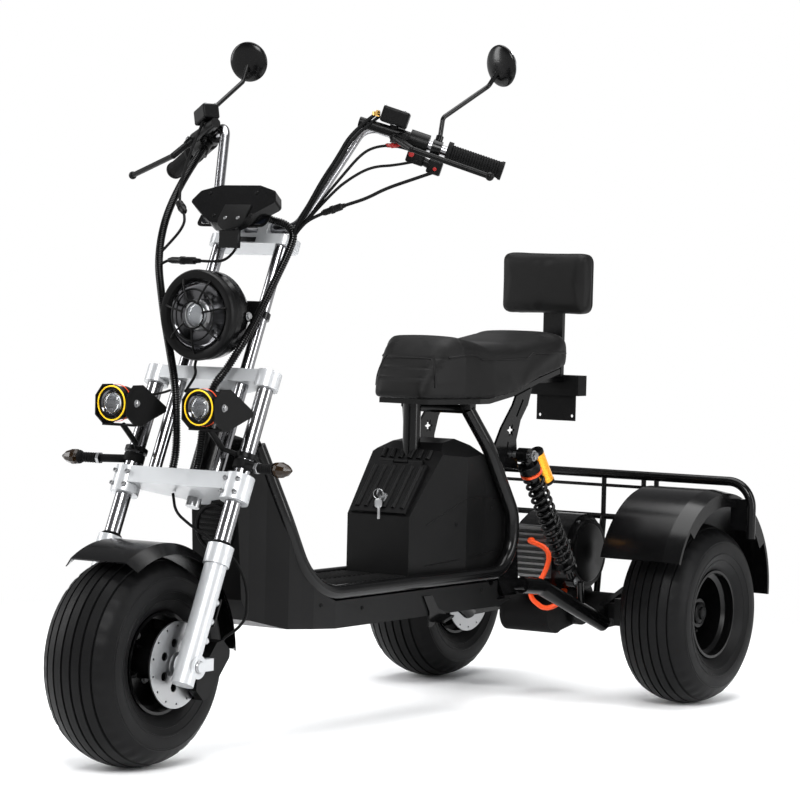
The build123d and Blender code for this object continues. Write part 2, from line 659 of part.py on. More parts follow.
def main_frame():
    """Welded frame: head tube, neck, two long side tubes, cross tubes and pivot lugs."""
    head_foot = LOWER_YOKE_TOP + HEAD_GAP
    head_length = MID_YOKE_FOOT - HEAD_GAP - head_foot
    frame = on_fork(0, STEM_BACK, head_foot) * Cylinder(HEAD_TUBE_R, head_length, align=LOW)
    frame += neck_gusset(0)
    frame += side_tubes(FRAME_R)
    end = RAIL_TOP
    frame += axle_bar(RAIL_CROSS_R, -end[0], end[0], end[1], end[2])
    frame += axle_bar(FLOOR_BAR_R, -FRAME_X, FRAME_X, FLOOR_BAR_Y, FLOOR_BAR_Z)
    lug = across([(322, FLOOR_Z - 8), (352, PIVOT_Z - 24), (PIVOT_Y + 16, PIVOT_Z - 24), (PIVOT_Y + 24, PIVOT_Z),
                  (RAIL_BACK_Y + 12, 400), (RAIL_BACK_Y, 410)], FRAME_X - 6, FRAME_X + 6)
    frame += both_sides(lug)
    pad = block(end[0] - 14, end[0] + 14, end[1] - 12, end[1] + 12, end[2], seat_line(end[1]) - PAN_T - CLEAR)
    frame += both_sides(pad)
    bore = on_fork(0, STEM_BACK, head_foot - 1) * Cylinder(STEM_R + SHAFT_CLEAR, head_length + 2, align=LOW)
    return frame - bore - axle_bar(PIVOT_R + FIT, -200, 200, PIVOT_Y, PIVOT_Z)


def leg_shield():
    """Moulded leg shield between the down tubes, narrow at its nose."""
    side = [
        (-560, 622), (-560, 556), (-590, 540), (-592, 500), (-578, 320), (-552, 276), (-480, 256),
        (SHELL_JOIN_Y, BELLY_Z), (SHELL_JOIN_Y, FLOOR_Z - FRAME_R), (-372, FLOOR_Z), (-400, 352),
        (-440, 420), (-470, 480), (-500, 560), (-523, 622),
    ]
    half_widths = [(-600, SHELL_NOSE_HALF), (-560, 66), (-524, 84), (-478, 111), (-440, 117), (-405, 124), (SHELL_JOIN_Y, BELLY_HALF)]
    plan = [(half, y) for y, half in half_widths]
    plan += [(-half, y) for y, half in reversed(half_widths)]
    shell = across(side, -BELLY_HALF, BELLY_HALF) & upward(plan, 200, 640)
    return shell - side_tubes(FRAME_R + CLEAR) - neck_gusset(CLEAR)


def belly_pan():
    """Floor of the step-through: belly with the foot deck between the frame tubes."""
    top = FLOOR_Z - FRAME_R - CLEAR
    side = [(SHELL_JOIN_Y, BELLY_Z), (330, BELLY_Z), (380, 262), (405, 292), (405, top), (SHELL_JOIN_Y, top)]
    deck_half = FRAME_X - FRAME_R - CLEAR
    belly = across(side, -BELLY_HALF, BELLY_HALF)
    belly += block(-deck_half, deck_half, SHELL_JOIN_Y, 385, 290, DECK_Z)
    lug_gap = block(FRAME_X - 8, BELLY_HALF + 1, 318, 420, PIVOT_Z - 30, FLOOR_Z)
    belly -= both_sides(lug_gap)
    belly -= axle_bar(FLOOR_BAR_R + CLEAR, -200, 200, FLOOR_BAR_Y, FLOOR_BAR_Z)
    return belly - axle_bar(SWING_R + 2, -200, 200, PIVOT_Y, PIVOT_Z) - side_tubes(FRAME_R + CLEAR)


def foot_mat():
    """Ribbed rubber mat on the deck."""
    mat = block(-96, 96, SHELL_JOIN_Y + 10, 6, DECK_Z + CLEAR, DECK_Z + 4)
    for n in range(8):
        x = (n - 3.5) * 24
        mat += block(x - 6, x + 6, SHELL_JOIN_Y + 16, 0, DECK_Z + 4, DECK_Z + 7)
    return mat


def slope_frame():
    """Unit vectors along and up from the battery cover's slope, in (y, z)."""
    dy = SLOPE_TOP[0] - SLOPE_FOOT[0]
    dz = SLOPE_TOP[1] - SLOPE_FOOT[1]
    length = hypot(dy, dz)
    along = (dy / length, dz / length)
    return along, (-along[1], along[0])


def slope_point(along_mm, up_mm):
    """(y, z) of a point on or above the slope."""
    along, up = slope_frame()
    return (SLOPE_FOOT[0] + along[0] * along_mm + up[0] * up_mm,
            SLOPE_FOOT[1] + along[1] * along_mm + up[1] * up_mm)


def slope_ribs(start, end, base):
    """Rounded ribs that run up the slope."""
    ribs = Part()
    for n in range(RIB_COUNT):
        x = (n - (RIB_COUNT - 1) / 2) * RIB_PITCH
        first = slope_point(start, base)
        last = slope_point(end, base)
        ribs += rod((x, *first), (x, *last), RIB_R)
    return ribs


def battery_cover():
    """Battery and controller cover with a sloping ribbed front and bevelled upper edges."""
    side = [
        (SLOPE_FOOT[0], DECK_Z + CLEAR), SLOPE_FOOT, SLOPE_TOP, (165, 622), (228, 630), (268, 615), (325, 562),
        (395, 480), (432, 415), (432, 380), (400, 345), (380, DECK_Z + CLEAR),
    ]
    half_widths = [(SLOPE_FOOT[0], BATTERY_NOSE_HALF), (217, BATTERY_WIDEST), (300, BATTERY_HALF), (440, BATTERY_HALF)]
    plan = [(half, y) for y, half in half_widths]
    plan += [(-half, y) for y, half in reversed(half_widths)]
    section = [(-110, 300), (110, 300), (110, 585), (56, 632), (-56, 632), (-110, 585)]
    cover = across(side, -BATTERY_WIDEST, BATTERY_WIDEST) & upward(plan, DECK_Z, 700)
    cover = cover & lengthwise(section, 0, 450)
    slope_length = hypot(SLOPE_TOP[0] - SLOPE_FOOT[0], SLOPE_TOP[1] - SLOPE_FOOT[1])
    cover += slope_ribs(HINGE_ALONG + 12, slope_length - 2, 0)
    hinge = slope_point(HINGE_ALONG, HINGE_UP)
    foot = slope_point(HINGE_ALONG, -4)
    cover += axle_bar(HINGE_R, -18, 18, *hinge)
    cover += across([(foot[0] - 4, foot[1]), (hinge[0] - 4, hinge[1]), (hinge[0] + 4, hinge[1]),
                     (foot[0] + 4, foot[1])], -18, 18)
    cover += axle_bar(HINGE_PIN_R, -60, 60, *hinge)
    post = Pos(0, SEAT_POST_Y, SEAT_POST_FOOT) * Cylinder(SEAT_POST_R + CLEAR, 200, align=LOW)
    return cover - post - side_tubes(FRAME_R + CLEAR)


def battery_lid():
    """Ribbed service lid on the slope, hinged at its upper edge."""
    corners = [slope_point(LID_START, CLEAR), slope_point(LID_END, CLEAR),
               slope_point(LID_END, CLEAR + LID_T), slope_point(LID_START, CLEAR + LID_T)]
    lid = across(corners, -LID_HALF, LID_HALF) + slope_ribs(LID_START + 12, LID_END - 8, CLEAR + LID_T - 1)
    hinge = slope_point(HINGE_ALONG, HINGE_UP)
    arm = [slope_point(LID_END - 4, 2), slope_point(HINGE_ALONG, 2), slope_point(HINGE_ALONG, 9),
           slope_point(LID_END - 4, LID_T)]
    for low, high in ((-58, -20), (20, 58)):
        lid += axle_bar(HINGE_R, low, high, *hinge) + across(arm, low, high)
    lid -= axle_bar(HINGE_PIN_R + SHAFT_CLEAR, -80, 80, *hinge)
    lock_foot = slope_point(24, LID_T - 2)
    lock_top = slope_point(24, LID_T + 9)
    return lid + rod((0, *lock_foot), (0, *lock_top), 9)


# ---------------------------------------------------------------- seat
SEAT_POST_Y = 140.0
SEAT_POST_R = 20.0
SEAT_POST_FOOT = 586.0
SEAT_BOTTOM = [(SEAT_NOSE_Y + 12, 722), (290, 722), (400, 738), (500, 765), (SEAT_TAIL_Y - 10, 795)]


def seat_line(y):
    """Height of the cushion's underside at y."""
    for (y0, z0), (y1, z1) in zip(SEAT_BOTTOM, SEAT_BOTTOM[1:]):
        if y <= y1:
            return z0 + (z1 - z0) * (y - y0) / (y1 - y0)
    return SEAT_BOTTOM[-1][1]


def seat_section(y, half, top):
    """Rounded cross-section of the saddle at y."""
    foot = seat_line(y)
    shoulder = min(SEAT_SHOULDER, 0.6 * (top - foot))
    bevel = shoulder * (1 - sin(radians(45)))
    arm = [
        Line((-half, foot), (half, foot)),
        Line((half, foot), (half, top - shoulder)),
        ThreePointArc((half, top - shoulder), (half - bevel, top - bevel), (half - shoulder, top)),
        ThreePointArc((half - shoulder, top), (0, top + SEAT_CROWN), (shoulder - half, top)),
        ThreePointArc((shoulder - half, top), (bevel - half, top - bevel), (-half, top - shoulder)),
        Line((-half, top - shoulder), (-half, foot)),
    ]
    return Plane(origin=(0, y, 0), x_dir=(1, 0, 0), z_dir=(0, -1, 0)) * make_face(arm)


def seat_cushion():
    """Long saddle: sloping nose, crest, dip and raised tail."""
    stations = [
        (SEAT_NOSE_Y, 60, 744), (SEAT_NOSE_Y + 8, NOSE_HALF - 3, 778), (98, 79, 808), (125, 91, 846), (180, 110, 860),
        (235, 121, 852), (290, SEAT_HALF, 842), (400, SEAT_HALF, 843), (500, SEAT_HALF, 857),
        (590, SEAT_HALF, 869), (620, SEAT_HALF - 4, 869), (SEAT_TAIL_Y - 10, SEAT_HALF - 14, 862),
        (SEAT_TAIL_Y, SEAT_HALF - 28, 850),
    ]
    return loft([seat_section(*station) for station in stations], ruled=True)


def seat_pan():
    """Steel pan under the cushion with the front seat post welded to it."""
    start_y = SEAT_NOSE_Y + 24
    stations = [(start_y, seat_line(start_y))] + SEAT_BOTTOM[1:-1] + [(600, seat_line(600))]
    upper = [(y, z - CLEAR) for y, z in stations]
    lower = [(y, z - PAN_T) for y, z in reversed(stations)]
    plan = [(-66, start_y), (66, start_y), (112, 250), (112, 600), (-112, 600), (-112, 250)]
    pan = across(upper + lower, -120, 120) & upward(plan, 600, 900)
    post_top = seat_line(SEAT_POST_Y) - PAN_T / 2
    post = Pos(0, SEAT_POST_Y, SEAT_POST_FOOT + CLEAR) * Cylinder(
        SEAT_POST_R, post_top - SEAT_POST_FOOT - CLEAR, align=LOW)
    return pan + post


def backrest_post():
    """Flat post behind the backrest and the tail bar that carries it under the seat."""
    bar_top = seat_line(548) - PAN_T - CLEAR
    bar = block(-27, 27, 548, 760, bar_top - 14, bar_top)
    post = block(-27, 27, 748, 760, bar_top - 14, 985)
    return bar + post


def backrest_pad():
    """Padded backrest in front of its post."""
    pad = block(-121, 121, 690, 748 - CLEAR, 913, 1062)
    return fillet(pad.edges(), 20)


def side_plates():
    """Pair of curved seat brackets with star and slot cut-outs."""
    outline = [
        (300, 596), (330, 568), (414, 556), (404, 625), (421, 670), (452, 705),
        (469, seat_line(469) - PAN_T - CLEAR), (400, seat_line(400) - PAN_T - CLEAR), (388, 706), (340, 655),
    ]
    plate = across(outline, FRAME_X - 8, FRAME_X - 2)
    centre = (379, 648)
    star = []
    for n in range(12):
        reach = 17 if n % 2 == 0 else 8
        angle = radians(30 * n)
        star.append((centre[0] + reach * cos(angle), centre[1] + reach * sin(angle)))
    plate -= across(star, 0, 200)
    slot = across([(-3, -24), (3, -24), (3, 24), (-3, 24)], 0, 200)
    plate -= Pos(0, 416, 698) * Rot(-35, 0, 0) * slot
    plate -= Pos(0, 362, 598) * Rot(-15, 0, 0) * slot
    return both_sides(plate - side_tubes(FRAME_R + CLEAR))


def tail_lamp():
    """Tail lamp housing with the bare number-plate bracket below it."""
    housing = block(-68, 68, 760 + CLEAR, 800, 717, 766)
    plate = block(-54, 54, 772, 776, 656, 718)
    for side in (-1, 1):
        plate -= rod((side * PLATE_HOLE_X, 765, PLATE_HOLE_Z), (side * PLATE_HOLE_X, 785, PLATE_HOLE_Z), 4)
    return housing + plate


PLATE_HOLE_X = 45.0
PLATE_HOLE_Z = 668.0


# ---------------------------------------------------------------- rear drive and suspension
def axle_housing():
    """Axle tube with the gear case, the stub axles and the motor's saddle."""
    housing = axle_bar(AXLE_TUBE_R, -AXLE_TUBE_HALF, AXLE_TUBE_HALF, REAR_AXLE_Y, WHEEL_R)
    housing += axle_bar(54, -70, 70, REAR_AXLE_Y, WHEEL_R)
    housing += axle_bar(44, -74, 60, 700, 192)
    housing += across([(700, 148), (800, 165), (800, 262), (700, 236)], -66, 56)
    housing += block(-30, 100, 705, 765, 220, 275)
    housing -= axle_bar(MOTOR_R + CLEAR, -100, 200, MOTOR_Y, MOTOR_Z)
    reach = REAR_WHEEL_X + 42
    return housing + axle_bar(REAR_AXLE_R, -reach, reach, REAR_AXLE_Y, WHEEL_R)


def drive_motor():
    """Motor with end caps, above the gear case."""
    motor = axle_bar(MOTOR_R, -28, 112, MOTOR_Y, MOTOR_Z)
    motor += axle_bar(MOTOR_R - 12, -42, 126, MOTOR_Y, MOTOR_Z)
    return motor


def heat_sink():
    """Finned controller housing in front of the motor."""
    y_back = MOTOR_Y - MOTOR_R - CLEAR
    sink = block(-60, 76, y_back - 12, y_back, 286, 410)
    for n in range(9):
        z = 290 + 14 * n
        sink += block(-60, 76, y_back - 34, y_back - 10, z, z + 5)
    return sink


def swing_arm():
    """Swing arm: pivot tube, two bent arms, axle plates and shock lugs."""
    arm_path = [(148, PIVOT_Y, PIVOT_Z), (149, 470, 284), (190, 700, 182)]
    arm = bent_tube(arm_path, SWING_R, 60)
    plate = across([(684, 172), (870, 178), (870, 246), (800, 262), (690, 226)], 182, 198)
    lug_low = (178, 612, 230)
    pin = axle_bar(6, SHOCK_EYE[0] - 16, SHOCK_EYE[0] + 16, SHOCK_EYE[1], SHOCK_EYE[2])
    arms = both_sides(arm + plate + lug_arm(lug_low) + pin)
    arms -= axle_bar(AXLE_TUBE_R + FIT, -300, 300, REAR_AXLE_Y, WHEEL_R)
    pivot = axle_bar(PIVOT_R, -160, 160, PIVOT_Y, PIVOT_Z)
    return arms + pivot


def lug_arm(foot):
    """Lug that carries the shock absorber's lower eye, outside the eye."""
    eye_side = SHOCK_EYE[0] + 21
    return rod(foot, (eye_side, SHOCK_EYE[1], SHOCK_EYE[2]), 8)


def shock_vector():
    return Vector(*SHOCK_EYE) - Vector(*SHOCK_TOP)


def shock_at(along_mm):
    """Point on the shock absorber's axis, from its top eye downwards."""
    point = Vector(*SHOCK_TOP) + shock_vector().normalized() * along_mm
    return (point.X, point.Y, point.Z)


def shock_dampers():
    """Damper bodies with eyes, spring seats and upper mounting blocks."""
    length = shock_vector().length
    body = rod(shock_at(26), shock_at(58), 23)
    body += rod(shock_at(50), shock_at(210), 13)
    body += rod(shock_at(200), shock_at(length - 16), 7)
    body += rod(shock_at(length - 46), shock_at(length - 38), 23)
    body += rod(shock_at(0), shock_at(30), 12)
    top = SHOCK_TOP
    body += axle_bar(17, top[0] - 14, top[0] + 14, top[1], top[2])
    body += axle_bar(13, SHOCK_EYE[0] - 10, SHOCK_EYE[0] + 10, SHOCK_EYE[1], SHOCK_EYE[2])
    body += rod(shock_at(length - 40), shock_at(length - 10), 8)
    body -= axle_bar(6 + FIT, 100, 220, SHOCK_EYE[1], SHOCK_EYE[2])
    body -= axle_bar(8 + FIT, 100, 220, top[1], top[2])
    return both_sides(body)


def shock_pins():
    """Upper shock bolts through the side plates."""
    top = SHOCK_TOP
    pin = axle_bar(8, FRAME_X - 2 + CLEAR, top[0] + 24, top[1], top[2])
    return both_sides(pin)


def shock_springs():
    """Coil springs between the seats."""
    start = 58 + CLEAR + SPRING_WIRE_R
    end = shock_vector().length - 46 - CLEAR - SPRING_WIRE_R
    height = end - start
    pitch = height / SPRING_TURNS
    coil = Helix(pitch=pitch, height=height, radius=SPRING_R)
    wire = sweep(Plane(origin=coil @ 0, z_dir=coil % 0) * Circle(SPRING_WIRE_R), path=coil, is_frenet=True)
    spring = Plane(origin=shock_at(start), z_dir=shock_vector()) * wire
    return both_sides(spring)


def shock_reservoirs():
    """Gold gas reservoirs beside the dampers."""
    along = shock_vector().normalized()
    back = Vector(0, -along.Z, along.Y).normalized()
    top = Vector(*shock_at(22)) + back * 44
    foot = top + along * 84
    can = rod((top.X, top.Y, top.Z), (foot.X, foot.Y, foot.Z), 17)
    neck_start = Vector(*shock_at(30)) + back * 23.5
    neck = rod((neck_start.X, neck_start.Y, neck_start.Z),
               ((neck_start + back * 12).X, (neck_start + back * 12).Y, (neck_start + back * 12).Z), 8)
    return both_sides(can + neck)


def rear_calipers():
    """Rear brake calipers on the axle plates, in front of the axle."""
    slot_half = DISC_T / 2 + CALIPER_GAP
    body = block(REAR_DISC_X - 34, REAR_DISC_X + 14, REAR_AXLE_Y - 118, REAR_AXLE_Y - 58,
                 WHEEL_R - 34, WHEEL_R + 30)
    slot = axle_bar(REAR_DISC_R + CALIPER_GAP, REAR_DISC_X - slot_half, REAR_DISC_X + slot_half,
                    REAR_AXLE_Y, WHEEL_R)
    bracket = block(198 + CLEAR, REAR_DISC_X - 30, REAR_AXLE_Y - 100, REAR_AXLE_Y - 64, WHEEL_R - 20, WHEEL_R + 16)
    return both_sides(body - slot + bracket)


def phase_cables():
    """Two motor cables in open loops beside the heat sink."""
    sink_front = MOTOR_Y - MOTOR_R - CLEAR - 34 - CLEAR
    upper = cord([(43, sink_front, 377), (43, 590, 377), (108, 588, 358), (91, 588, 298), (45, 598, 253),
                  (45, 660, 249), (45, 705 - CLEAR, 249)], 6)
    lower = cord([(80, 705 - CLEAR, 252), (80, 688, 252), (104, 664, 244), (116, 622, 231), (87, 600, 214),
                  (45, 604, 238), (30, 626, 262), (30, 626, 286 - CLEAR)], 6)
    return upper + lower


# ---------------------------------------------------------------- rack and fenders
def rear_rack():
    """Rear hoop over both wheels with the luggage frame hanging in it."""
    path = [(-HOOP_HALF, HOOP_Y, HOOP_FOOT_Z), (-HOOP_HALF, HOOP_Y, HOOP_Z), (HOOP_HALF, HOOP_Y, HOOP_Z),
            (HOOP_HALF, HOOP_Y, HOOP_FOOT_Z)]
    rack = bent_tube(path, HOOP_R, 60)
    rack += axle_bar(RACK_ROD_R + 1, -RACK_HALF, RACK_HALF, HOOP_Y, RACK_RAIL_Z)
    for x in (90, 200):
        rack += both_sides(rod((x, HOOP_Y, RACK_RAIL_Z), (x, HOOP_Y, HOOP_Z), RACK_ROD_R))
    rack += axle_bar(4, -RACK_HALF, RACK_HALF, HOOP_Y, HOOP_Z - 28)
    for side in (-1, 1):
        foot = (side * 90, REAR_AXLE_Y + AXLE_TUBE_R, WHEEL_R + 10)
        rack += rod((side * 90, HOOP_Y, RACK_RAIL_Z), foot, 8)
    rack += both_sides(rod((RACK_HALF, HOOP_Y, RACK_RAIL_Z), (RACK_HALF, HOOP_Y, HOOP_Z), RACK_ROD_R))
    rack += both_sides(block(442, HOOP_HALF, HOOP_Y - 8, HOOP_Y + 8, 414, 488))
    fender = rear_fender_envelope()
    return rack - both_sides(fender) - axle_bar(AXLE_TUBE_R + CLEAR, -300, 300, REAR_AXLE_Y, WHEEL_R)


def rear_fender_bands(extra):
    """Left rear fender, grown by extra: arched crown with a shoulder, and the deeper skirt over the wheel."""
    outer = REAR_FENDER_R + extra
    inner = REAR_FENDER_R - FENDER_T - extra
    edge = 103 + extra
    edge_inner = 103 - FENDER_T - extra
    crown = [(-103, outer), (61, outer), (edge, outer - 7), (edge, 228 - extra), (edge_inner, 228 - extra),
             (edge_inner, inner - 7), (61, inner), (-103, inner)]
    skirt = [(edge, 231), (edge, REAR_SKIRT_R - extra), (edge_inner, REAR_SKIRT_R - extra), (edge_inner, 231)]
    place = Pos(REAR_FENDER_X, REAR_FENDER_Y, REAR_FENDER_Z)
    return place * (arched(crown, 94.5, 69.5) + arched(skirt, 62, 48))


def rear_fender_envelope():
    """The left fender grown by the assembly clearance, to trim what is bolted to it."""
    return rear_fender_bands(CLEAR)


def rear_fenders():
    band = rear_fender_bands(0)
    tab = block(RACK_HALF + RACK_ROD_R + CLEAR, REAR_FENDER_X - 95, HOOP_Y - 10, HOOP_Y + 10, 478, 499)
    return both_sides(band + tab)


def brake_pedal():
    """Folded pedal bracket on the left side of the belly."""
    side = [(5, 292), (40, 292), (64, 262), (97, 250), (97, 240), (60, 236), (42, 222), (28, 222), (30, 256)]
    plate = across(side, BELLY_HALF + CLEAR, BELLY_HALF + 4)
    return plate + across([(58, 236), (97, 246), (97, 240), (58, 230)], BELLY_HALF + CLEAR, BELLY_HALF + 24)


# ---------------------------------------------------------------- cables held by the fork
def brake_hose():
    """Front brake hose from the headlight's shadow to the caliper, held by the left slider."""
    points = [(-34, -690, 540), (-10, -712, 505), (40, -716, 476), (92, -712, 452), (132, -690, 414),
              (150, -676, 360), (152, -680, 300), (140, -694, 276), (118, -708.8, 258.7), (118, -720.2, 246.2)]
    return cord(points, 3)


def wiring_looms():
    """Wiring sleeves from the handlebar and the display down to the frame."""
    right = [(-245.9, -334.3, 1261.8), (-243.5, -348.5, 1252), (-234, -425, 1185), (-215, -497, 1118), (-198, -540, 1060),
             (-172, -578, 1005), (-142, -606, 955), (-116, -625, 893), (-88, -641, 831), (-54, -664, 762),
             (-40, -676, 700), fork_point(-30, -6, LOWER_YOKE_TOP + 35), fork_point(-30, -6, LOWER_YOKE_TOP + CLEAR)]
    left = [(60, -534.3, 1122.6), (60, -514, 1107), (96, -499, 1100), (120, -497, 1078), (116, -512, 1040),
            (107, -547, 979), (98, -592, 905), (95, -638, 850), (70, -661, 793), (58, -684, 766),
            (40, -690, 700), fork_point(30, -6, LOWER_YOKE_TOP + 35), fork_point(30, -6, LOWER_YOKE_TOP + CLEAR)]
    return cord(right, 8) + cord(left, 8)


# ---------------------------------------------------------------- assembly
def build_nodes():
    """All sub-components, keyed by node name."""
    nodes = {
        "main_frame": main_frame(),
        "leg_shield": leg_shield(),
        "belly_pan": belly_pan(),
        "foot_mat": foot_mat(),
        "battery_cover": battery_cover(),
        "battery_lid": battery_lid(),
        "seat_pan": seat_pan(),
        "seat_cushion": seat_cushion(),
        "backrest_post": backrest_post(),
        "backrest_pad": backrest_pad(),
        "side_plates": side_plates(),
        "tail_lamp": tail_lamp(),
        "axle_housing": axle_housing(),
        "drive_motor": drive_motor(),
        "heat_sink": heat_sink(),
        "swing_arm": swing_arm(),
        "shock_dampers": shock_dampers(),
        "shock_pins": shock_pins(),
        "shock_springs": shock_springs(),
        "shock_reservoirs": shock_reservoirs(),
        "rear_calipers": rear_calipers(),
        "phase_cables": phase_cables(),
        "rear_rack": rear_rack(),
        "rear_fenders": rear_fenders(),
        "brake_pedal": brake_pedal(),
        "lower_yoke": lower_yoke(),
        "mid_yoke": mid_yoke(),
        "top_plate": top_plate(),
        "steering_stem": steering_stem(),
        "fork_tubes": fork_tubes(),
        "fork_sliders": fork_sliders(),
        "front_fender": front_fender(),
        "front_caliper": front_caliper(),
        "handlebar": handlebar(),
        "grips": grips(),
        "controls_left": controls_left(),
        "controls_right": controls_right(),
        "mirrors": mirrors(),
        "display": display(),
        "headlight": headlight(),
        "headlight_bracket": headlight_bracket(),
        "fog_lights": fog_lights(),
        "indicators": indicators(),
        "brake_hose": brake_hose(),
        "wiring_looms": wiring_looms(),
    }
    nodes.update(front_wheel())
    nodes.update(rear_wheel(1))
    nodes.update(rear_wheel(-1))
    return nodes


def write_parts():
    os.makedirs("parts", exist_ok=True)
    for name, shape in build_nodes().items():
        export_step(shape, f"parts/{name}.step")


write_parts()
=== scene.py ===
"""Looks of the electric three-wheel scooter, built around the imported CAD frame.

+Z is up, the scooter faces -Y and the rider's left is +X. Places are in metres. The outlines
and radii of the small details, which go through MM, are in millimetres.
"""
import math

import bmesh
import bpy
from mathutils import Matrix, Vector
from mathutils.bvhtree import BVHTree


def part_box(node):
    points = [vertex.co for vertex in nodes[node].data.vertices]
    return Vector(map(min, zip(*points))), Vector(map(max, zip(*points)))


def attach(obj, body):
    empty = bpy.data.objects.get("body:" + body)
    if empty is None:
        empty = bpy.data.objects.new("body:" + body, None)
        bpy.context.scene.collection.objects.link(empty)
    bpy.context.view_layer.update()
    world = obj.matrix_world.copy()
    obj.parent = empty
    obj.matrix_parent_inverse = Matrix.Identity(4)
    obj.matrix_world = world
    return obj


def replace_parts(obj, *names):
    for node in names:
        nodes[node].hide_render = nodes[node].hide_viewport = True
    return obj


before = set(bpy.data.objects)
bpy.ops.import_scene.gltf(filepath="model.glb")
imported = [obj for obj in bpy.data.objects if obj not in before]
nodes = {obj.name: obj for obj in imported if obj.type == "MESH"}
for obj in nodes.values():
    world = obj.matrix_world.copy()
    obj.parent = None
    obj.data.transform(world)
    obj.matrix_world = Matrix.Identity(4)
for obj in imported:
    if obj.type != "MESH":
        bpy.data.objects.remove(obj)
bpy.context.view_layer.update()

MM = 0.001
SIDES = ((1, "left"), (-1, "right"))

CAMERA_PLACE = (3.9272, -5.8145, 0.9994)
CAMERA_RIGHT = (0.831847, 0.554481, 0.024122)
CAMERA_UP = (-0.042036, 0.019607, 0.998924)
CAMERA_BACK = (0.553411, -0.831966, 0.039618)
CAMERA_LENS = 142.27
SENSOR_WIDTH = 36.0

RAKE = math.radians(23.9)
FORK_UP = Vector((0, math.sin(RAKE), math.cos(RAKE)))
FORK_BACK = Vector((0, math.cos(RAKE), -math.sin(RAKE)))
FORK_FOOT_Y = -0.859
FORK_X = 0.141
FRONT_AXLE = Vector((0, -0.850, 0.215))
REAR_AXLE_Y = 0.806
REAR_WHEEL_X = 0.359
WHEEL_R = 0.215
SHOCK_TOP = Vector((0.145, 0.395, 0.591))
SHOCK_EYE = Vector((0.160, 0.600, 0.287))
HEADLIGHT = Vector((0, -0.664, 0.907))
FOG_X = 0.111
FOG_Y = -0.800
FOG_Z = 0.725
SMOOTH_ANGLE = 0.6


# ---- materials
MATERIALS = {}


def add_node(tree, kind, sockets, **settings):
    """New shader node; sockets gives each input a value or another node's output."""
    node = tree.nodes.new("ShaderNode" + kind)
    for name, value in settings.items():
        setattr(node, name, value)
    for socket, value in sockets.items():
        if isinstance(value, bpy.types.NodeSocket):
            tree.links.new(value, node.inputs[socket])
        else:
            node.inputs[socket].default_value = value
    return node


def new_material(name, color, roughness, metallic=0, specular=0.5):
    """Principled material under its name; returns its node tree and the shader node."""
    made = bpy.data.materials.new(name)
    made.use_nodes = True
    made.diffuse_color = (*color, 1)
    shader = made.node_tree.nodes["Principled BSDF"]
    for socket, value in (("Base Color", (*color, 1)), ("Roughness", roughness),
                          ("Metallic", metallic), ("Specular IOR Level", specular)):
        shader.inputs[socket].default_value = value
    MATERIALS[name] = made
    return made.node_tree, shader


def object_coords(tree):
    return add_node(tree, "TexCoord", {}).outputs["Object"]


def noise(tree, scale, detail):
    """Noise in object space, from 0 to 1."""
    sockets = {"Scale": scale, "Detail": detail, "Vector": object_coords(tree)}
    return add_node(tree, "TexNoise", sockets).outputs["Fac"]


def roughen(tree, shader, source, low, high):
    """Lets the roughness drift from low to high."""
    node = add_node(tree, "MapRange", {"To Min": low, "To Max": high, "Value": source})
    tree.links.new(node.outputs["Result"], shader.inputs["Roughness"])


def ramp(tree, source, *stops):
    """Colour ramp over a value, from (position, colour) stops."""
    node = add_node(tree, "ValToRGB", {"Fac": source})
    for element, (position, color) in zip(node.color_ramp.elements, stops):
        element.position = position
        element.color = (*color, 1)
    return node.outputs["Color"]


def tint(tree, shader, source, dark, light):
    """Colour that drifts between two shades."""
    tree.links.new(ramp(tree, source, (0.3, dark), (0.7, light)), shader.inputs["Base Color"])


def bumped(tree, shader, source, strength, distance):
    node = add_node(tree, "Bump", {"Strength": strength, "Distance": distance, "Height": source})
    tree.links.new(node.outputs["Normal"], shader.inputs["Normal"])


def surface(name, color, roughness, metallic=0, vary=0.25, wear=0.08, grain=0,
            grain_scale=900, specular=0.5):
    """Painted, plastic or metal surface: a drift of colour and gloss, and a fine grain."""
    tree, shader = new_material(name, color, roughness, metallic, specular)
    tint(tree, shader, noise(tree, 7, 2), [c * (1 - vary) for c in color],
         [min(1, c * (1 + vary)) for c in color])
    roughen(tree, shader, noise(tree, 60, 4), max(0.02, roughness - wear),
            min(1, roughness + wear))
    if grain:
        bumped(tree, shader, noise(tree, grain_scale, 2), grain, 0.0004)


def leather(name, color):
    """Coated fabric with a pebbled grain."""
    tree, shader = new_material(name, color, 0.5, specular=0.14)
    cells = add_node(tree, "TexVoronoi", {"Scale": 420, "Vector": object_coords(tree)})
    bumped(tree, shader, cells.outputs["Distance"], 0.22, 0.0005)
    broad = noise(tree, 9, 3)
    tint(tree, shader, broad, [c * 0.8 for c in color], [c * 1.3 for c in color])
    roughen(tree, shader, broad, 0.42, 0.6)


def glass(name, color):
    """Clear moulded lens with a faint ripple."""
    tree, shader = new_material(name, color, 0.03)
    shader.inputs["Transmission Weight"].default_value = 1
    shader.inputs["IOR"].default_value = 1.45
    bumped(tree, shader, noise(tree, 80, 2), 0.1, 0.0005)


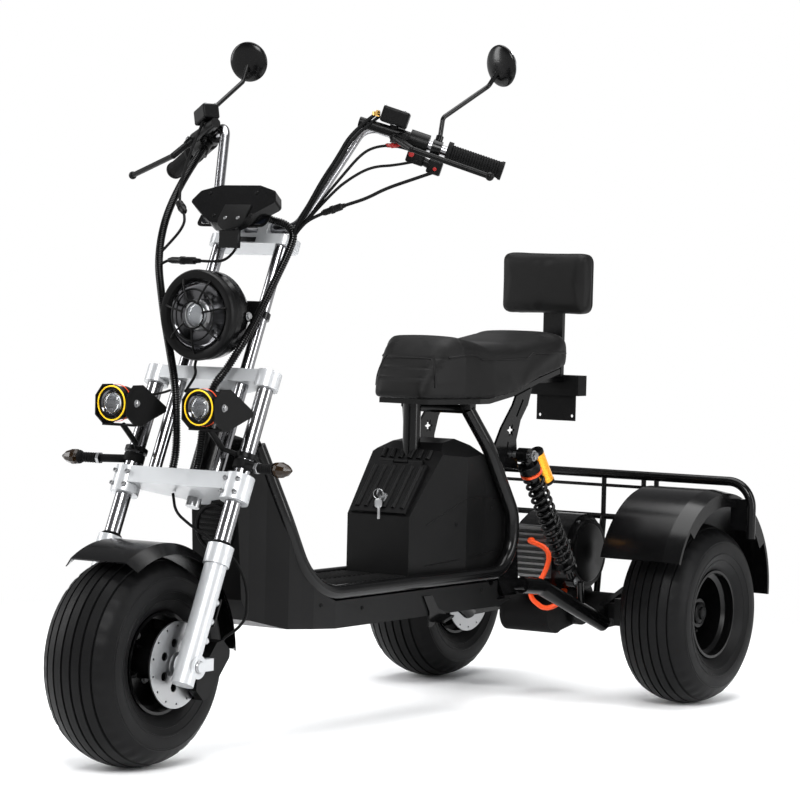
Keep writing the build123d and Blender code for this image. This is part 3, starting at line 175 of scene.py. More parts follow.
def make_materials():
    surface("gloss_black", (0.0018, 0.0018, 0.0019), 0.2, wear=0.05, specular=0.2)
    surface("satin_black", (0.0022, 0.0022, 0.0023), 0.36, wear=0.07, grain=0.2, specular=0.1)
    surface("shell_black", (0.0028, 0.0028, 0.0029), 0.36, wear=0.06, grain=0.3,
            grain_scale=1500, specular=0.11)
    surface("matt_black", (0.0028, 0.0028, 0.0029), 0.55, grain=0.3, specular=0.08)
    surface("rubber", (0.003, 0.003, 0.0031), 0.6, grain=0.4, grain_scale=700, specular=0.08)
    surface("tyre", (0.0036, 0.0036, 0.0038), 0.46, vary=0.3, grain=0.5, grain_scale=500,
            specular=0.1)
    surface("silver", (0.42, 0.43, 0.44), 0.34, metallic=0.35, vary=0.06, grain=0.15)
    surface("chrome", (0.27, 0.27, 0.28), 0.2, metallic=1, vary=0.05, wear=0.04)
    surface("steel", (0.3, 0.303, 0.308), 0.3, metallic=1, vary=0.04, wear=0.05, grain=0.1)
    surface("dark_chrome", (0.09, 0.09, 0.095), 0.12, metallic=1, vary=0.1, wear=0.05)
    surface("cast_grey", (0.12, 0.12, 0.12), 0.45, metallic=0.7, vary=0.15, grain=0.5)
    surface("gold", (0.9, 0.38, 0.02), 0.28, metallic=0.6, vary=0.08, wear=0.06)
    surface("brass", (0.6, 0.36, 0.1), 0.25, metallic=1, vary=0.1)
    surface("red_ring", (0.7, 0.07, 0.015), 0.3, metallic=0.6, vary=0.1)
    surface("orange", (0.72, 0.065, 0.008), 0.42, vary=0.12, grain=0.1, specular=0.3)
    surface("yellow", (0.82, 0.5, 0.01), 0.35, vary=0.08, grain=0.1, specular=0.3)
    surface("red_plastic", (0.2, 0.006, 0.005), 0.35, vary=0.1, grain=0.1, specular=0.3)
    leather("leather", (0.0026, 0.0025, 0.0025))
    surface("amber", (0.012, 0.006, 0.002), 0.16, vary=0.4, wear=0.04, specular=0.25)
    surface("red_lens", (0.12, 0.004, 0.004), 0.12, vary=0.2, wear=0.04, specular=0.4)
    glass("lens", (0.93, 0.95, 0.97))
    surface("screen", (0.004, 0.005, 0.008), 0.08, vary=0.2, wear=0.03, specular=0.4)
    surface("mirror", (0.8, 0.82, 0.84), 0.03, metallic=1, vary=0.02, wear=0.02)


# Look: the record's slot and the CAD nodes that wear it.
NODE_LOOKS = {
    "gloss_black": ("frame_black", """main_frame side_plates swing_arm rear_rack backrest_post
        seat_pan headlight_bracket brake_pedal rear_fenders display mirrors headlight front_rim
        rear_rim_left rear_rim_right shock_springs drive_motor shock_dampers front_fender"""),
    "satin_black": ("plastic_black", """controls_left controls_right fog_lights front_caliper
        rear_calipers indicators"""),
    "shell_black": ("plastic_black", "leg_shield belly_pan battery_cover battery_lid"),
    "matt_black": ("plastic_black", "axle_housing tail_lamp brake_hose wiring_looms"),
    "rubber": ("rubber_black", "foot_mat grips"),
    "tyre": ("tyre", "front_tyre rear_tyre_left rear_tyre_right"),
    "silver": ("alloy", "lower_yoke mid_yoke top_plate fork_sliders"),
    "chrome": ("chrome", "handlebar fork_tubes"),
    "steel": ("steel", "steering_stem shock_pins front_disc rear_disc_left rear_disc_right"),
    "cast_grey": ("alloy_dark", "heat_sink"),
    "gold": ("gold", "shock_reservoirs"),
    "orange": ("orange", "phase_cables"),
    "leather": ("leather_black", "seat_cushion backrest_pad"),
}


def dress_nodes():
    """Gives every CAD node its material."""
    for look, (_, names) in NODE_LOOKS.items():
        for name in names.split():
            for slot in nodes[name].material_slots:
                slot.material = MATERIALS[look]


# ---- shape helpers
def fork(x, back, up):
    """Point in the steered fork's own frame; up is measured from the axle along the tubes."""
    return Vector((x, FORK_FOOT_Y, WHEEL_R)) + FORK_UP * up + FORK_BACK * back


def facing(place, axis):
    """Matrix whose local +Z is the axis, at a place."""
    return Matrix.Translation(place) @ Vector(axis).to_track_quat("Z", "Y").to_matrix().to_4x4()


def polar(radius, angle, z=0):
    return Vector((radius * math.cos(angle), radius * math.sin(angle), z))


def about_x(centre, aside, radius, angle):
    """Point beside a centre, at a radius about the line along X through it."""
    spot = polar(radius, angle)
    return Vector(centre) + Vector((aside, spot.x, spot.y))


def turns(count, start=0):
    """Evenly spaced angles of one turn."""
    return [start + 2 * math.pi * step / count for step in range(count)]


def bridge(bm, rings, closed=False):
    """Faces between neighbouring rings of vertices; a ring of one vertex closes an end."""
    pairs = list(zip(rings, rings[1:])) + ([(rings[-1], rings[0])] if closed else [])
    for first, second in pairs:
        count = max(len(first), len(second))
        for step in range(count if len(first) + len(second) > 2 else 0):
            following = (step + 1) % count
            if len(first) == 1:
                bm.faces.new((first[0], second[following], second[step]))
            elif len(second) == 1:
                bm.faces.new((first[step], first[following], second[0]))
            else:
                bm.faces.new((first[step], first[following], second[following], second[step]))


def lathe(bm, outline, matrix, segments=32, closed=False):
    """Turns (radius, along) points about the matrix's local Z; a closed outline makes a ring."""
    rings = []
    for radius, along in outline:
        rings.append([bm.verts.new(matrix @ (polar(radius, angle, along) * MM))
                      for angle in (turns(segments) if radius else [0])])
    bridge(bm, rings, closed)


def ring(bm, outline, matrix, segments):
    """Ring with a closed section of (radius, along) points."""
    lathe(bm, outline, matrix, segments, closed=True)


def rod(bm, start, end, radius, overlap, segments):
    """Round bar between two points, run on by the overlap at both ends."""
    length = (end - start).length / MM + overlap
    outline = [(0, -overlap), (radius, -overlap), (radius, length), (0, length)]
    lathe(bm, outline, facing(start, end - start), segments)


def rounded_edges(bm, edges, width):
    """Bevels edges; returns the vertices of the new faces."""
    cut = bmesh.ops.bevel(bm, geom=edges, offset=width * MM, segments=2, profile=0.5,
                          affect="EDGES")
    return {vert for face in cut["faces"] for vert in face.verts}


def box(bm, size, matrix, bevel):
    """Box of a size about the matrix, with rounded edges."""
    verts = bmesh.ops.create_cube(bm, size=1)["verts"]
    for vert in verts:
        vert.co = Vector([part * length * MM for part, length in zip(vert.co, size)])
    edges = list({edge for vert in verts for edge in vert.link_edges})
    bmesh.ops.transform(bm, matrix=matrix, verts=list(rounded_edges(bm, edges, bevel)))


def prism(bm, outline, thickness, matrix, bevel=0):
    """Flat outline of (x, y) points, thickened along local +Z, with its upper rim bevelled."""
    foot = [bm.verts.new((x * MM, y * MM, 0)) for x, y in outline]
    top = bmesh.ops.extrude_face_region(bm, geom=[bm.faces.new(foot)])
    lifted = [item for item in top["geom"] if isinstance(item, bmesh.types.BMVert)]
    bmesh.ops.translate(bm, vec=(0, 0, thickness * MM), verts=lifted)
    verts = set(foot + lifted)
    if bevel:
        edges = {edge for vert in lifted for edge in vert.link_edges
                 if edge.verts[0] in lifted and edge.verts[1] in lifted}
        new = rounded_edges(bm, list(edges), bevel)
        verts = {vert for vert in verts if vert.is_valid} | new
    bmesh.ops.transform(bm, matrix=matrix, verts=list(verts))


def rounded(half_x, half_y, corner, steps=5):
    """Rounded rectangle as a list of (x, y)."""
    points = []
    for quarter, (sx, sy) in enumerate(((1, 1), (-1, 1), (-1, -1), (1, -1))):
        for step in range(steps + 1):
            turn = polar(corner, math.pi / 2 * (quarter + step / steps))
            points.append((sx * (half_x - corner) + turn.x, sy * (half_y - corner) + turn.y))
    return points


def dressed(made, look, body):
    """Puts an object into the scene with one material, riding on a body."""
    bpy.context.scene.collection.objects.link(made)
    made.data.materials.append(MATERIALS[look])
    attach(made, body)
    return made


def piece(name, bm, look, body="steering", smooth=SMOOTH_ANGLE):
    """Mesh object of one material on a body; edges over the angle stay sharp."""
    bmesh.ops.recalc_face_normals(bm, faces=bm.faces)
    for face in bm.faces:
        face.smooth = True
    for edge in bm.edges:
        if len(edge.link_faces) == 2 and edge.calc_face_angle(0) > smooth:
            edge.smooth = False
    mesh = bpy.data.meshes.new(name)
    bm.to_mesh(mesh)
    bm.free()
    return dressed(bpy.data.objects.new(name, mesh), look, body)


def curve(name, points, segments):
    """Smooth curve object that starts at the first point and ends at the last."""
    data = bpy.data.curves.new(name, "CURVE")
    data.dimensions = "3D"
    data.resolution_u = segments
    spline = data.splines.new("NURBS")
    spline.points.add(len(points) - 1)
    for place, point in zip(points, spline.points):
        point.co = (*place, 1)
    spline.order_u = 3
    spline.use_endpoint_u = True
    return bpy.data.objects.new(name, data)


def cable(name, points, radius, look, body="steering", segments=8):
    """Round cable along one smooth curve, riding on a body."""
    made = curve(name, points, segments)
    made.data.bevel_depth = radius * MM
    made.data.bevel_resolution = 3
    made.data.use_fill_caps = True
    return dressed(made, look, body)


def metres(points):
    return [Vector(point) * MM for point in points]


def hex_bolt(bm, place, axis, radius, height):
    """Hexagon head with a chamfer, on a washer."""
    matrix = facing(place, axis)
    washer, rise = radius * 1.35, height * 0.18
    lathe(bm, [(0, 0), (washer, 0), (washer, rise), (0, rise)], matrix, 20)
    lathe(bm, [(0, 0), (radius, height * 0.1), (radius, height * 0.85), (radius * 0.86, height),
               (0, height)], matrix, 6)


def cap_screw(bm, place, axis, radius, height):
    """Round socket-head screw with its recess."""
    lathe(bm, [(0, -1), (radius, -1), (radius, height * 0.85), (radius * 0.88, height),
               (radius * 0.55, height), (radius * 0.5, height * 0.45), (0, height * 0.4)],
          facing(place, axis), 18)


def round_screw(bm, place, axis, radius):
    """Low domed screw head with a recess in the middle."""
    lathe(bm, [(0, -1), (radius, -1), (radius, radius * 0.2), (radius * 0.75, radius * 0.5),
               (radius * 0.35, radius * 0.55), (radius * 0.3, radius * 0.25), (0, radius * 0.2)],
          facing(place, axis), 18)


def tree_of(*meshes):
    """Ray-casting tree over meshes."""
    bm = bmesh.new()
    for mesh in meshes:
        bm.from_mesh(mesh)
    tree = BVHTree.FromBMesh(bm)
    bm.free()
    return tree


def node_tree(*names):
    """Ray-casting tree over CAD nodes."""
    return tree_of(*[nodes[name].data for name in names])


def touches(tree, rays):
    """For each (origin, direction) that meets the tree: the place and the outward normal."""
    found = []
    for origin, direction in rays:
        direction = Vector(direction).normalized()
        place, normal, _, _ = tree.ray_cast(Vector(origin), direction)
        if place is not None:
            found.append((place, -normal if normal.dot(direction) > 0 else normal))
    return found


# ---- tyres and wheels
TREAD_GROOVES = (-55, -33, -11, 11, 33, 55)
GROOVE_HALF = 2.6
GROOVE_DEPTH = 5
TYRE_STEPS = 144
SHOULDER_X = 0.0585
SHOULDER_R = 0.192
NOTCH_EVERY = 4
NOTCH_DEPTH = 0.003
TYRE_WALL = ((200, 62), (195, 70.5), (186, 79), (174, 86.2), (173.5, 87.2), (170.5, 87.2),
             (170, 88.2), (158, 89.9), (146, 88.5), (145.5, 89.3), (142.5, 89), (142, 87.8),
             (130, 83.5), (129.5, 84.2), (127, 83.4), (126.5, 82.2), (118, 77.5), (112, 72.5),
             (104.5, 66), (104, 60))


def tyre_outline():
    """(radius, x) around the tyre's section: grooved tread, ribbed sidewalls and bead."""
    tread = []
    for groove in TREAD_GROOVES:
        for share, depth in ((-1, 0), (-0.6, GROOVE_DEPTH), (0.6, GROOVE_DEPTH), (1, 0)):
            x = groove + GROOVE_HALF * share
            tread.append((214.9 - 14.9 * (abs(x) / 62) ** 2.2 - depth, x))
    return [(radius, -x) for radius, x in reversed(TYRE_WALL)] + tread + list(TYRE_WALL)


def make_tyre(name, node, centre, body):
    """Road tyre with grooves around it and notched shoulder ribs."""
    bm = bmesh.new()
    ring(bm, tyre_outline(), facing(centre, (1, 0, 0)), TYRE_STEPS)
    for vert in bm.verts:
        offset = vert.co - centre
        radius = math.hypot(offset.y, offset.z)
        turn = round(math.atan2(offset.z, offset.y) * TYRE_STEPS / (2 * math.pi))
        if abs(offset.x) > SHOULDER_X and radius > SHOULDER_R and turn % NOTCH_EVERY == 0:
            scale = (radius - NOTCH_DEPTH) / radius
            vert.co = centre + Vector((offset.x, offset.y * scale, offset.z * scale))
    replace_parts(piece(name, bm, "tyre", body, smooth=0.5), node)


def hub_bolts(name, rim, centre, side, body, look="satin_black"):
    """Five wheel bolts and a hub cap on one face of a rim."""
    bm = bmesh.new()
    tree = node_tree(rim)
    inward = (-side, 0, 0)
    rays = [(about_x(centre, side * 0.12, 0.050, angle), inward)
            for angle in turns(5, math.pi / 2)]
    for place, _ in touches(tree, rays):
        if (place - centre).x * side >= -0.06:
            hex_bolt(bm, place, (side, 0, 0), 7, 7)
    for place, _ in touches(tree, [(about_x(centre, side * 0.12, 0.020, 0), inward)]):
        lathe(bm, [(26, -1), (26, 4), (23, 6.5), (16, 7.5), (14.5, 11.5), (0, 12.5)],
              facing((place.x, centre.y, centre.z), (side, 0, 0)), 30)
    piece(name, bm, look, body)


def valve(name, centre, side, degrees, body):
    """Rubber tyre valve on the rim."""
    bm = bmesh.new()
    angle = math.radians(degrees)
    lathe(bm, [(0, -6), (5, -6), (4.5, 2), (3, 5), (3, 20), (3.8, 21), (3.8, 28), (0, 29)],
          facing(about_x(centre, side * 0.040, 0.086, angle),
                 about_x((0, 0, 0), side * 0.5, -1, angle)), 16)
    piece(name, bm, "rubber", body)


def make_wheels():
    make_tyre("front_tyre_tread", "front_tyre", FRONT_AXLE, "front_wheel")
    for side, word in SIDES:
        centre = Vector((side * REAR_WHEEL_X, REAR_AXLE_Y, WHEEL_R))
        body = f"rear_wheel_{word}"
        make_tyre(f"rear_tyre_{word}_tread", f"rear_tyre_{word}", centre, body)
        hub_bolts(f"rear_{word}_wheel_bolts", f"rear_rim_{word}", centre, side, body)
        valve(f"rear_{word}_valve", centre, side, 215, body)
    hub_bolts("front_wheel_bolts", "front_rim", FRONT_AXLE, 1, "front_wheel", "steel")
    valve("front_valve", FRONT_AXLE, 1, 200, "front_wheel")


# ---- fork
def make_fork():
    """Dust seals, clamp screws, lug bolts and axle ends of the fork."""
    seals, bolts = bmesh.new(), bmesh.new()
    for side, _ in SIDES:
        x = side * FORK_X
        ring(seals, [(17.2, 0), (22.2, 0), (22.2, 3), (21.2, 5), (19.5, 6), (18.2, 8),
                     (17.2, 8.2)], facing(fork(x, 0, 0.255), FORK_UP), 36)
        for up in (0.066, 0.106, 0.146):
            hex_bolt(bolts, fork(x, 0.036, up), FORK_BACK, 5.2, 5)
        for up in (0.363, 0.391):
            for aside in (side * 0.0155, -side * 0.0155):
                cap_screw(bolts, fork(x + aside, -0.0265, up), -FORK_BACK, 4.8, 5)
        cap_screw(bolts, fork(side * 0.080, 0, 0.936), FORK_UP, 11.5, 5)
        lathe(bolts, [(0, -2), (13, -2), (13, 4), (11.5, 6), (7, 6), (6.5, 3), (0, 3)],
              facing((side * 0.162, FRONT_AXLE.y, FRONT_AXLE.z), (side, 0, 0)), 28)
        lathe(bolts, [(0, -1), (5.5, -1), (5.5, 13), (4.6, 15), (0, 15)],
              facing(fork(side * 0.106, -0.002, 0.614), (side, 0, 0)), 18)
        cap_screw(bolts, (side * 0.155, -0.838, 0.216), (0, -1, 0), 5, 4)
    lathe(bolts, [(0, -1), (16.5, -1), (16.5, 6), (15, 8), (0, 8)],
          facing(fork(0, 0.053, 0.936), FORK_UP), 6)
    piece("fork_dust_seals", seals, "rubber")
    piece("fork_bolts", bolts, "steel")


# ---- lamps
GUARD_BARS = 7
GUARD_LINE = ((26, 19), (40, 18.2), (53, 16.5), (68, 12.8), (78, 7))


def make_headlight():
    """Reflector, projector lens, front ring, barred guard and bolts of the headlight."""
    matrix = facing(HEADLIGHT, (0, -1, 0))
    for name, look, segments, closed, outline in (
            ("headlight_reflector", "dark_chrome", 56, True,
             [(71.2, 0), (70, -3), (60, -10.5), (40, -12.5), (33, -12.5), (33, -13.3),
              (71.5, -13.3)]),
            ("headlight_projector_ring", "steel", 48, False,
             [(0, -12), (33, -12), (33, 1), (30, 4), (26.5, 4.5), (26.5, 1), (0, 1)]),
            ("headlight_projector_lens", "lens", 40, False,
             [(0, 11.2), (10, 10.6), (19, 8), (24.5, 4.5), (26.2, 1.5), (26.2, 1.2), (0, 1.2)])):
        bm = bmesh.new()
        lathe(bm, outline, matrix, segments, closed)
        piece(name, bm, look)
    bm = bmesh.new()
    ring(bm, [(92.5, -12), (93.5, 2), (90.5, 7.5), (84, 8.5), (76, 6), (72.2, 0.5), (72.2, -3),
              (80, -3)], matrix, 64)
    for ring_r, rise in ((28, 19), (53, 16.5)):
        ring(bm, [(ring_r - 2.2, rise), (ring_r, rise + 2.2), (ring_r + 2.2, rise),
                  (ring_r, rise - 2.2)], matrix, 56)
    for angle in turns(GUARD_BARS, math.radians(12)):
        line = [matrix @ (polar(radius, angle, rise) * MM) for radius, rise in GUARD_LINE]
        for start, end in zip(line, line[1:]):
            rod(bm, start, end, 2.2, 0.8, 10)
    piece("headlight_guard", bm, "satin_black")
    bm = bmesh.new()
    for side, _ in SIDES:
        hex_bolt(bm, HEADLIGHT + Vector((side * 0.094, 0.046, 0)), (side, 0, 0), 6.5, 6)
    piece("headlight_bolts", bm, "steel")


def make_fog_lamps():
    """Yellow rings, red accents, bowls, lenses and cheek bolts of the fog lamps."""
    rings, accents, bowls, lenses, bolts = [bmesh.new() for _ in range(5)]
    for side, _ in SIDES:
        centre = Vector((side * FOG_X, FOG_Y, FOG_Z))
        matrix = facing(centre, (0, -1, 0))
        ring(rings, [(35.2, -1), (36.2, 0.4), (35.2, 2), (33.6, 2), (33, 0.4), (33.6, -1)],
             matrix, 48)
        ring(accents, [(37.4, 16), (38.2, 17), (38.2, 18.5), (37.4, 19.5)],
             facing(centre + Vector((0, 0.036, 0)), (0, -1, 0)), 40)
        lathe(bowls, [(27.2, 0), (20, -6), (0, -8.5), (0, -9.8), (27.2, -9.8)], matrix, 40)
        lathe(lenses, [(0, 8.5), (8, 7.8), (15, 5.5), (21, 1.5), (24.5, -4), (24.5, -5.5),
                       (0, -5.5)], matrix, 40)
        for cheek in (1, -1):
            hex_bolt(bolts, centre + Vector((cheek * 0.0418, 0.028, 0)), (cheek, 0, 0), 5.8, 6)
    piece("fog_lamp_rings", rings, "yellow")
    piece("fog_lamp_accents", accents, "red_ring")
    piece("fog_lamp_reflectors", bowls, "dark_chrome")
    piece("fog_lamp_lenses", lenses, "lens")
    piece("fog_lamp_bolts", bolts, "steel")


def make_indicators():
    """Faceted smoky lenses, ribbed stalks on clamped arms, and nuts."""
    lenses, stalks, nuts = bmesh.new(), bmesh.new(), bmesh.new()
    for side, _ in SIDES:
        base = Vector((side * 0.200, -0.722, 0.606))
        axis = Vector((side * 0.094, -0.010, 0))
        length = axis.length / MM
        matrix = facing(base, axis)
        lathe(lenses, [(0, 50), (12, 50), (18.5, 58), (19, 66), (13, 82), (3, length - 1),
                       (0, length)], matrix @ Matrix.Diagonal((1, 0.86, 1, 1)), 10)
        outline = [(0, 4)]
        for along in range(12, 48, 6):
            outline += [(8.8, along - 2), (10.8, along), (8.8, along + 2)]
        lathe(stalks, outline + [(13.5, 48), (14.5, 51.5), (0, 51.5)], matrix, 24)
        arm_foot = Vector((side * 0.152, -0.6920, 0.606))
        arm = base - arm_foot
        reach = arm.length / MM
        lathe(stalks, [(0, 0), (8.5, 0), (8.5, reach - 4), (6, reach), (0, reach)],
              facing(arm_foot, arm), 20)
        ring(stalks, [(17.2, -9), (21.5, -9), (22.2, -7), (22.2, 7), (21.5, 9), (17.2, 9)],
             facing(fork(side * FORK_X, 0, 0.428), FORK_UP), 36)
        lathe(nuts, [(0, -1), (12.5, 0), (12.5, 6.5), (11, 7.5), (0, 7.5)], matrix, 6)
    piece("indicator_lenses", lenses, "amber", smooth=0.25)
    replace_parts(piece("indicator_stalks", stalks, "rubber"), "indicators")
    piece("indicator_nuts", nuts, "steel")


def make_tail():
    """Lenses of the tail lamp and the screws of its bracket."""
    lens, sides, screws = bmesh.new(), bmesh.new(), bmesh.new()
    back = (0, 1, 0)
    prism(lens, rounded(60, 17.5, 8), 3.5, facing((0, 0.7995, 0.7415), back), 1.5)
    for side, _ in SIDES:
        prism(sides, rounded(13, 13.5, 4), 1.5, facing((side * 0.040, 0.803, 0.7415), back), 0.8)
        round_screw(screws, (side * 0.036, 0.776, 0.706), back, 5.5)
    piece("tail_lens", lens, "red_lens", "chassis")
    piece("tail_turn_lenses", sides, "amber", "chassis")
    piece("plate_screws", screws, "steel", "chassis")


# ---- handlebar and display
BAR_DIRECTION = Vector((1, 0.584, -0.367))
BAR_START = Vector((0.182, -0.340, 1.312))
GRIP_RIBS = 20
DOWN = (0, 0, -1)
BUTTONS = (("red", 284, -400, 1250, 6), ("grey", 300, -400, 1240, 4.5),
           ("grey", 318, -400, 1228, 4.5), ("red", 330, -400, 1220, 4),
           ("grey", 284, -150, 1250, 6), ("red", 322, -150, 1228, 5.5))


def bar(x):
    """Point on the handlebar's left outer run."""
    return BAR_START + BAR_DIRECTION * (x - BAR_START.x)


def make_grips():
    """Ribbed rubber sleeves of the grips."""
    bm = bmesh.new()
    start = bar(0.334)
    length = (bar(0.428) - start).length / MM
    half = length / GRIP_RIBS / 2
    outline = [(16.5, 0)]
    for step in range(GRIP_RIBS):
        along = length * (step + 0.5) / GRIP_RIBS
        outline += [(17.1, along - half * 0.9), (18.4, along - half * 0.5),
                    (18.4, along + half * 0.5), (17.1, along + half * 0.9)]
    outline.append((16.5, length))
    for side, _ in SIDES:
        flip = Vector((side, 1, 1))
        ring(bm, outline, facing(start * flip, BAR_DIRECTION * flip), 36)
    piece("grip_ribs", bm, "rubber")


def make_controls():
    """Buttons, reservoir lid screws, hose fitting and lever pivot bolts."""
    tree = node_tree("controls_left", "controls_right")
    screws, brass = bmesh.new(), bmesh.new()
    buttons = {"red": bmesh.new(), "grey": bmesh.new()}
    for centre in (Vector((0.257, -0.340, 1.345)), Vector((-0.235, -0.340, 1.354))):
        side = math.copysign(1, centre.x)
        along = Vector((side * 0.86, 0.50, -0.30)).normalized()
        across = Vector((along.y, -along.x, 0)).normalized() * side
        above = centre + Vector((0, 0, 0.05))
        rays = [(above + along * first * 0.021 + across * second * 0.012, DOWN)
                for first in (1, -1) for second in (1, -1)]
        for place, normal in touches(tree, rays):
            if place.z > 1.30:
                round_screw(screws, place, normal, 2.8)
    for color, x, y, z, radius in BUTTONS:
        towards = (0, 1 if y < -300 else -1, 0)
        for place, normal in touches(tree, [(Vector((x, y, z)) * MM, towards)]):
            lathe(buttons[color], [(0, -1), (radius, -1), (radius, 2.2), (radius * 0.8, 3.2),
                                   (0, 3.4)], facing(place, normal), 20)
    pivots = [((0.262, -0.352, 1.334), DOWN), ((-0.290, -0.334, 1.322), DOWN)]
    for place, normal in touches(tree, pivots):
        if place.z < 1.31:
            hex_bolt(screws, place, normal, 5, 4)
    lathe(brass, [(0, -2), (7.5, -2), (7.5, 6), (0, 6)],
          facing((0.226, -0.356, 1.333), (-0.85, -0.5, 0.15)), 6)
    lathe(brass, [(0, -4), (8.5, -4), (8.5, 4), (0, 4)],
          facing((0.222, -0.359, 1.333), (0, 0, 1)), 20)
    piece("control_screws", screws, "steel")
    piece("hose_fitting", brass, "brass")
    piece("red_buttons", buttons["red"], "red_plastic")
    piece("grey_buttons", buttons["grey"], "matt_black")


def make_bar_clamps():
    """Screws of the handlebar's clamps."""
    bm = bmesh.new()
    for side, _ in SIDES:
        for offset in (0.011, -0.011):
            cap_screw(bm, fork(side * 0.034, 0.012 + offset, 0.938), FORK_UP, 4.5, 4)
    rays = [(fork(x, -0.004, 0.99), -FORK_UP) for x in (-0.062, 0.062)]
    for place, normal in touches(node_tree("top_plate", "handlebar"), rays):
        cap_screw(bm, place, normal, 4.5, 4)
    piece("bar_clamp_screws", bm, "steel")


def axes_at(place, x, y, z):
    """Matrix from three axes, at a place."""
    return Matrix.Translation(place) @ Matrix((x, y, z)).transposed().to_4x4()


def make_display():
    """Glass, bezel, screws and front bracket of the dashboard."""
    up = Vector((0, 0.616, 0.788))
    front = Vector((0, -0.788, 0.616))
    face = Vector((0, -0.545, 1.131))
    tree = node_tree("display")
    bm = bmesh.new()
    (place, _), = touches(tree, [(face - front * 0.08, front)])
    back = (Vector((-1, 0, 0)), up, -front)
    prism(bm, rounded(82, 34, 10), 1.4, axes_at(place + front * 0.0004, *back), 0.6)
    piece("display_glass", bm, "screen")
    bm = bmesh.new()
    matrix = axes_at(place + front * 0.0006, *back)
    outer, inner = rounded(90, 42, 14), rounded(83, 35, 11)
    rings = []
    for outline, scale_x, scale_y, z in ((outer, 1, 1, 0), (outer, 0.985, 0.97, 2.6),
                                         (inner, 1, 1, 2.6), (inner, 1, 1, 0)):
        rings.append([bm.verts.new(matrix @ (Vector((x * scale_x, y * scale_y, z)) * MM))
                      for x, y in outline])
    bridge(bm, rings, closed=True)
    piece("display_bezel", bm, "satin_black")
    screws = bmesh.new()
    rays = [(face + up * height + front * 0.06 + Vector((x, 0, 0)), -front)
            for x, height in ((-0.069, 0.026), (0.050, 0.028), (-0.031, -0.034), (0.062, -0.032))]
    for place, _ in touches(tree, rays):
        round_screw(screws, place, front, 4)
    piece("display_screws", screws, "matt_black")
    bm = bmesh.new()
    outline = [(34, 30), (-34, 30)]
    for step in range(9):
        turn = polar(1, math.pi + math.pi * step / 8)
        outline.append((34 * turn.x, -6 + 30 * turn.y))
    (place, _), = touches(tree, [(face - up * 0.030 + front * 0.06, -front)])
    centre = place + Vector((0.020, 0, 0)) - up * 0.006
    prism(bm, outline, 4, axes_at(centre - front * 0.0006, Vector((1, 0, 0)), up, front), 1)
    piece("display_bracket", bm, "matt_black")
    bm = bmesh.new()
    for x in (-0.016, 0.016):
        round_screw(bm, centre + Vector((x, 0, 0)) + front * 0.003 - up * 0.006, front, 4.2)
    piece("display_bracket_screws", bm, "steel")


def make_mirrors():
    """Mirror glass on the rider's side of both heads."""
    bm = bmesh.new()
    lean = math.radians(12)
    for centre, turn in (((0.364, -0.100, 1.447), -15.6), ((-0.302, -0.100, 1.467), 15.6)):
        level = polar(math.cos(lean), math.radians(turn + 90))
        lathe(bm, [(0, 13.6), (15, 13.4), (30, 12.2), (37, 10.5), (37, 6), (0, 6)],
              facing(centre, level + Vector((0, 0, math.sin(lean)))), 48)
    piece("mirror_glass", bm, "mirror")


# ---- cables
LOOM_R = 8
LOOM_PITCH = 5
LEFT_LOOM = ((60, -534.3, 1122.6), (60, -514, 1107), (96, -499, 1100), (120, -497, 1078),
             (116, -512, 1040), (107, -547, 979), (98, -592, 905), (95, -638, 850),
             (70, -661, 793), (58, -684, 766), (40, -690, 700))
RIGHT_LOOM = ((-245.9, -334.3, 1261.8), (-243.5, -348.5, 1252), (-234, -425, 1185),
              (-215, -497, 1118), (-198, -540, 1060), (-172, -578, 1005), (-142, -606, 955),
              (-116, -625, 893), (-88, -641, 831), (-54, -664, 762), (-40, -676, 700))
CABLES = (
    ("brake_switch_cable", 3.4, (
        (226, -352, 1328), (192, -398, 1285), (187, -435, 1233), (177, -465, 1197),
        (158, -485, 1148), (136, -500, 1099), (121, -499, 1080))),
    ("left_hose_upper", 4, (
        (222, -356, 1334), (186, -392, 1296), (176, -433, 1236), (166, -468, 1192),
        (150, -492, 1140), (128, -505, 1095), (117, -500, 1070))),
    ("left_switch_cable_one", 3, (
        (284, -318, 1258), (262, -342, 1268), (229, -370, 1264), (220, -410, 1246),
        (200, -450, 1197), (166, -482, 1140), (124, -499, 1078))),
    ("left_switch_cable_two", 3, (
        (300, -306, 1238), (262, -340, 1226), (236, -385, 1222), (222, -430, 1203),
        (190, -470, 1165), (126, -498, 1082))),
    ("left_switch_cable_three", 3.6, (
        (330, -294, 1215), (300, -340, 1196), (270, -390, 1176), (252, -432, 1154),
        (224, -468, 1139), (178, -486, 1121), (140, -500, 1100), (121, -500, 1074))),
    ("display_cable", 3, (
        (23, -556, 1070), (21, -562, 1050), (6, -564, 1030), (-14, -567, 1018),
        (-45, -569, 1017), (-72, -570, 1018))),
    ("display_cable_end", 3, ((-146, -574, 1018), (-160, -577, 1014), (-172, -578, 1005))),
    ("right_switch_cable", 3, (
        (-232, -352, 1326), (-226, -395, 1270), (-222, -440, 1195), (-205, -470, 1142),
        (-168, -498, 1120), (-150, -520, 1090), (-176, -556, 1040), (-184, -562, 1030))),
    ("right_cable_two", 3, (
        (-300, -318, 1240), (-272, -360, 1215), (-250, -410, 1188), (-228, -466, 1146),
        (-214, -500, 1114))),
    ("headlight_cable", 3, (
        (-14, -640, 825), (-18, -650, 806), (-8, -654, 788), (-22, -652, 768),
        (-36, -655, 748))),
)
FOG_WIRE = ((111, -752, 730), (106, -735, 738), (90, -712, 742), (66, -694, 744), (50, -684, 752))
PLUGS = (((224, -468, 1139), (178, -486, 1121), 7.5), ((-69, -570, 1018), (-149, -574, 1018), 7.8),
         ((-205, -470, 1142), (-168, -498, 1120), 8.5))


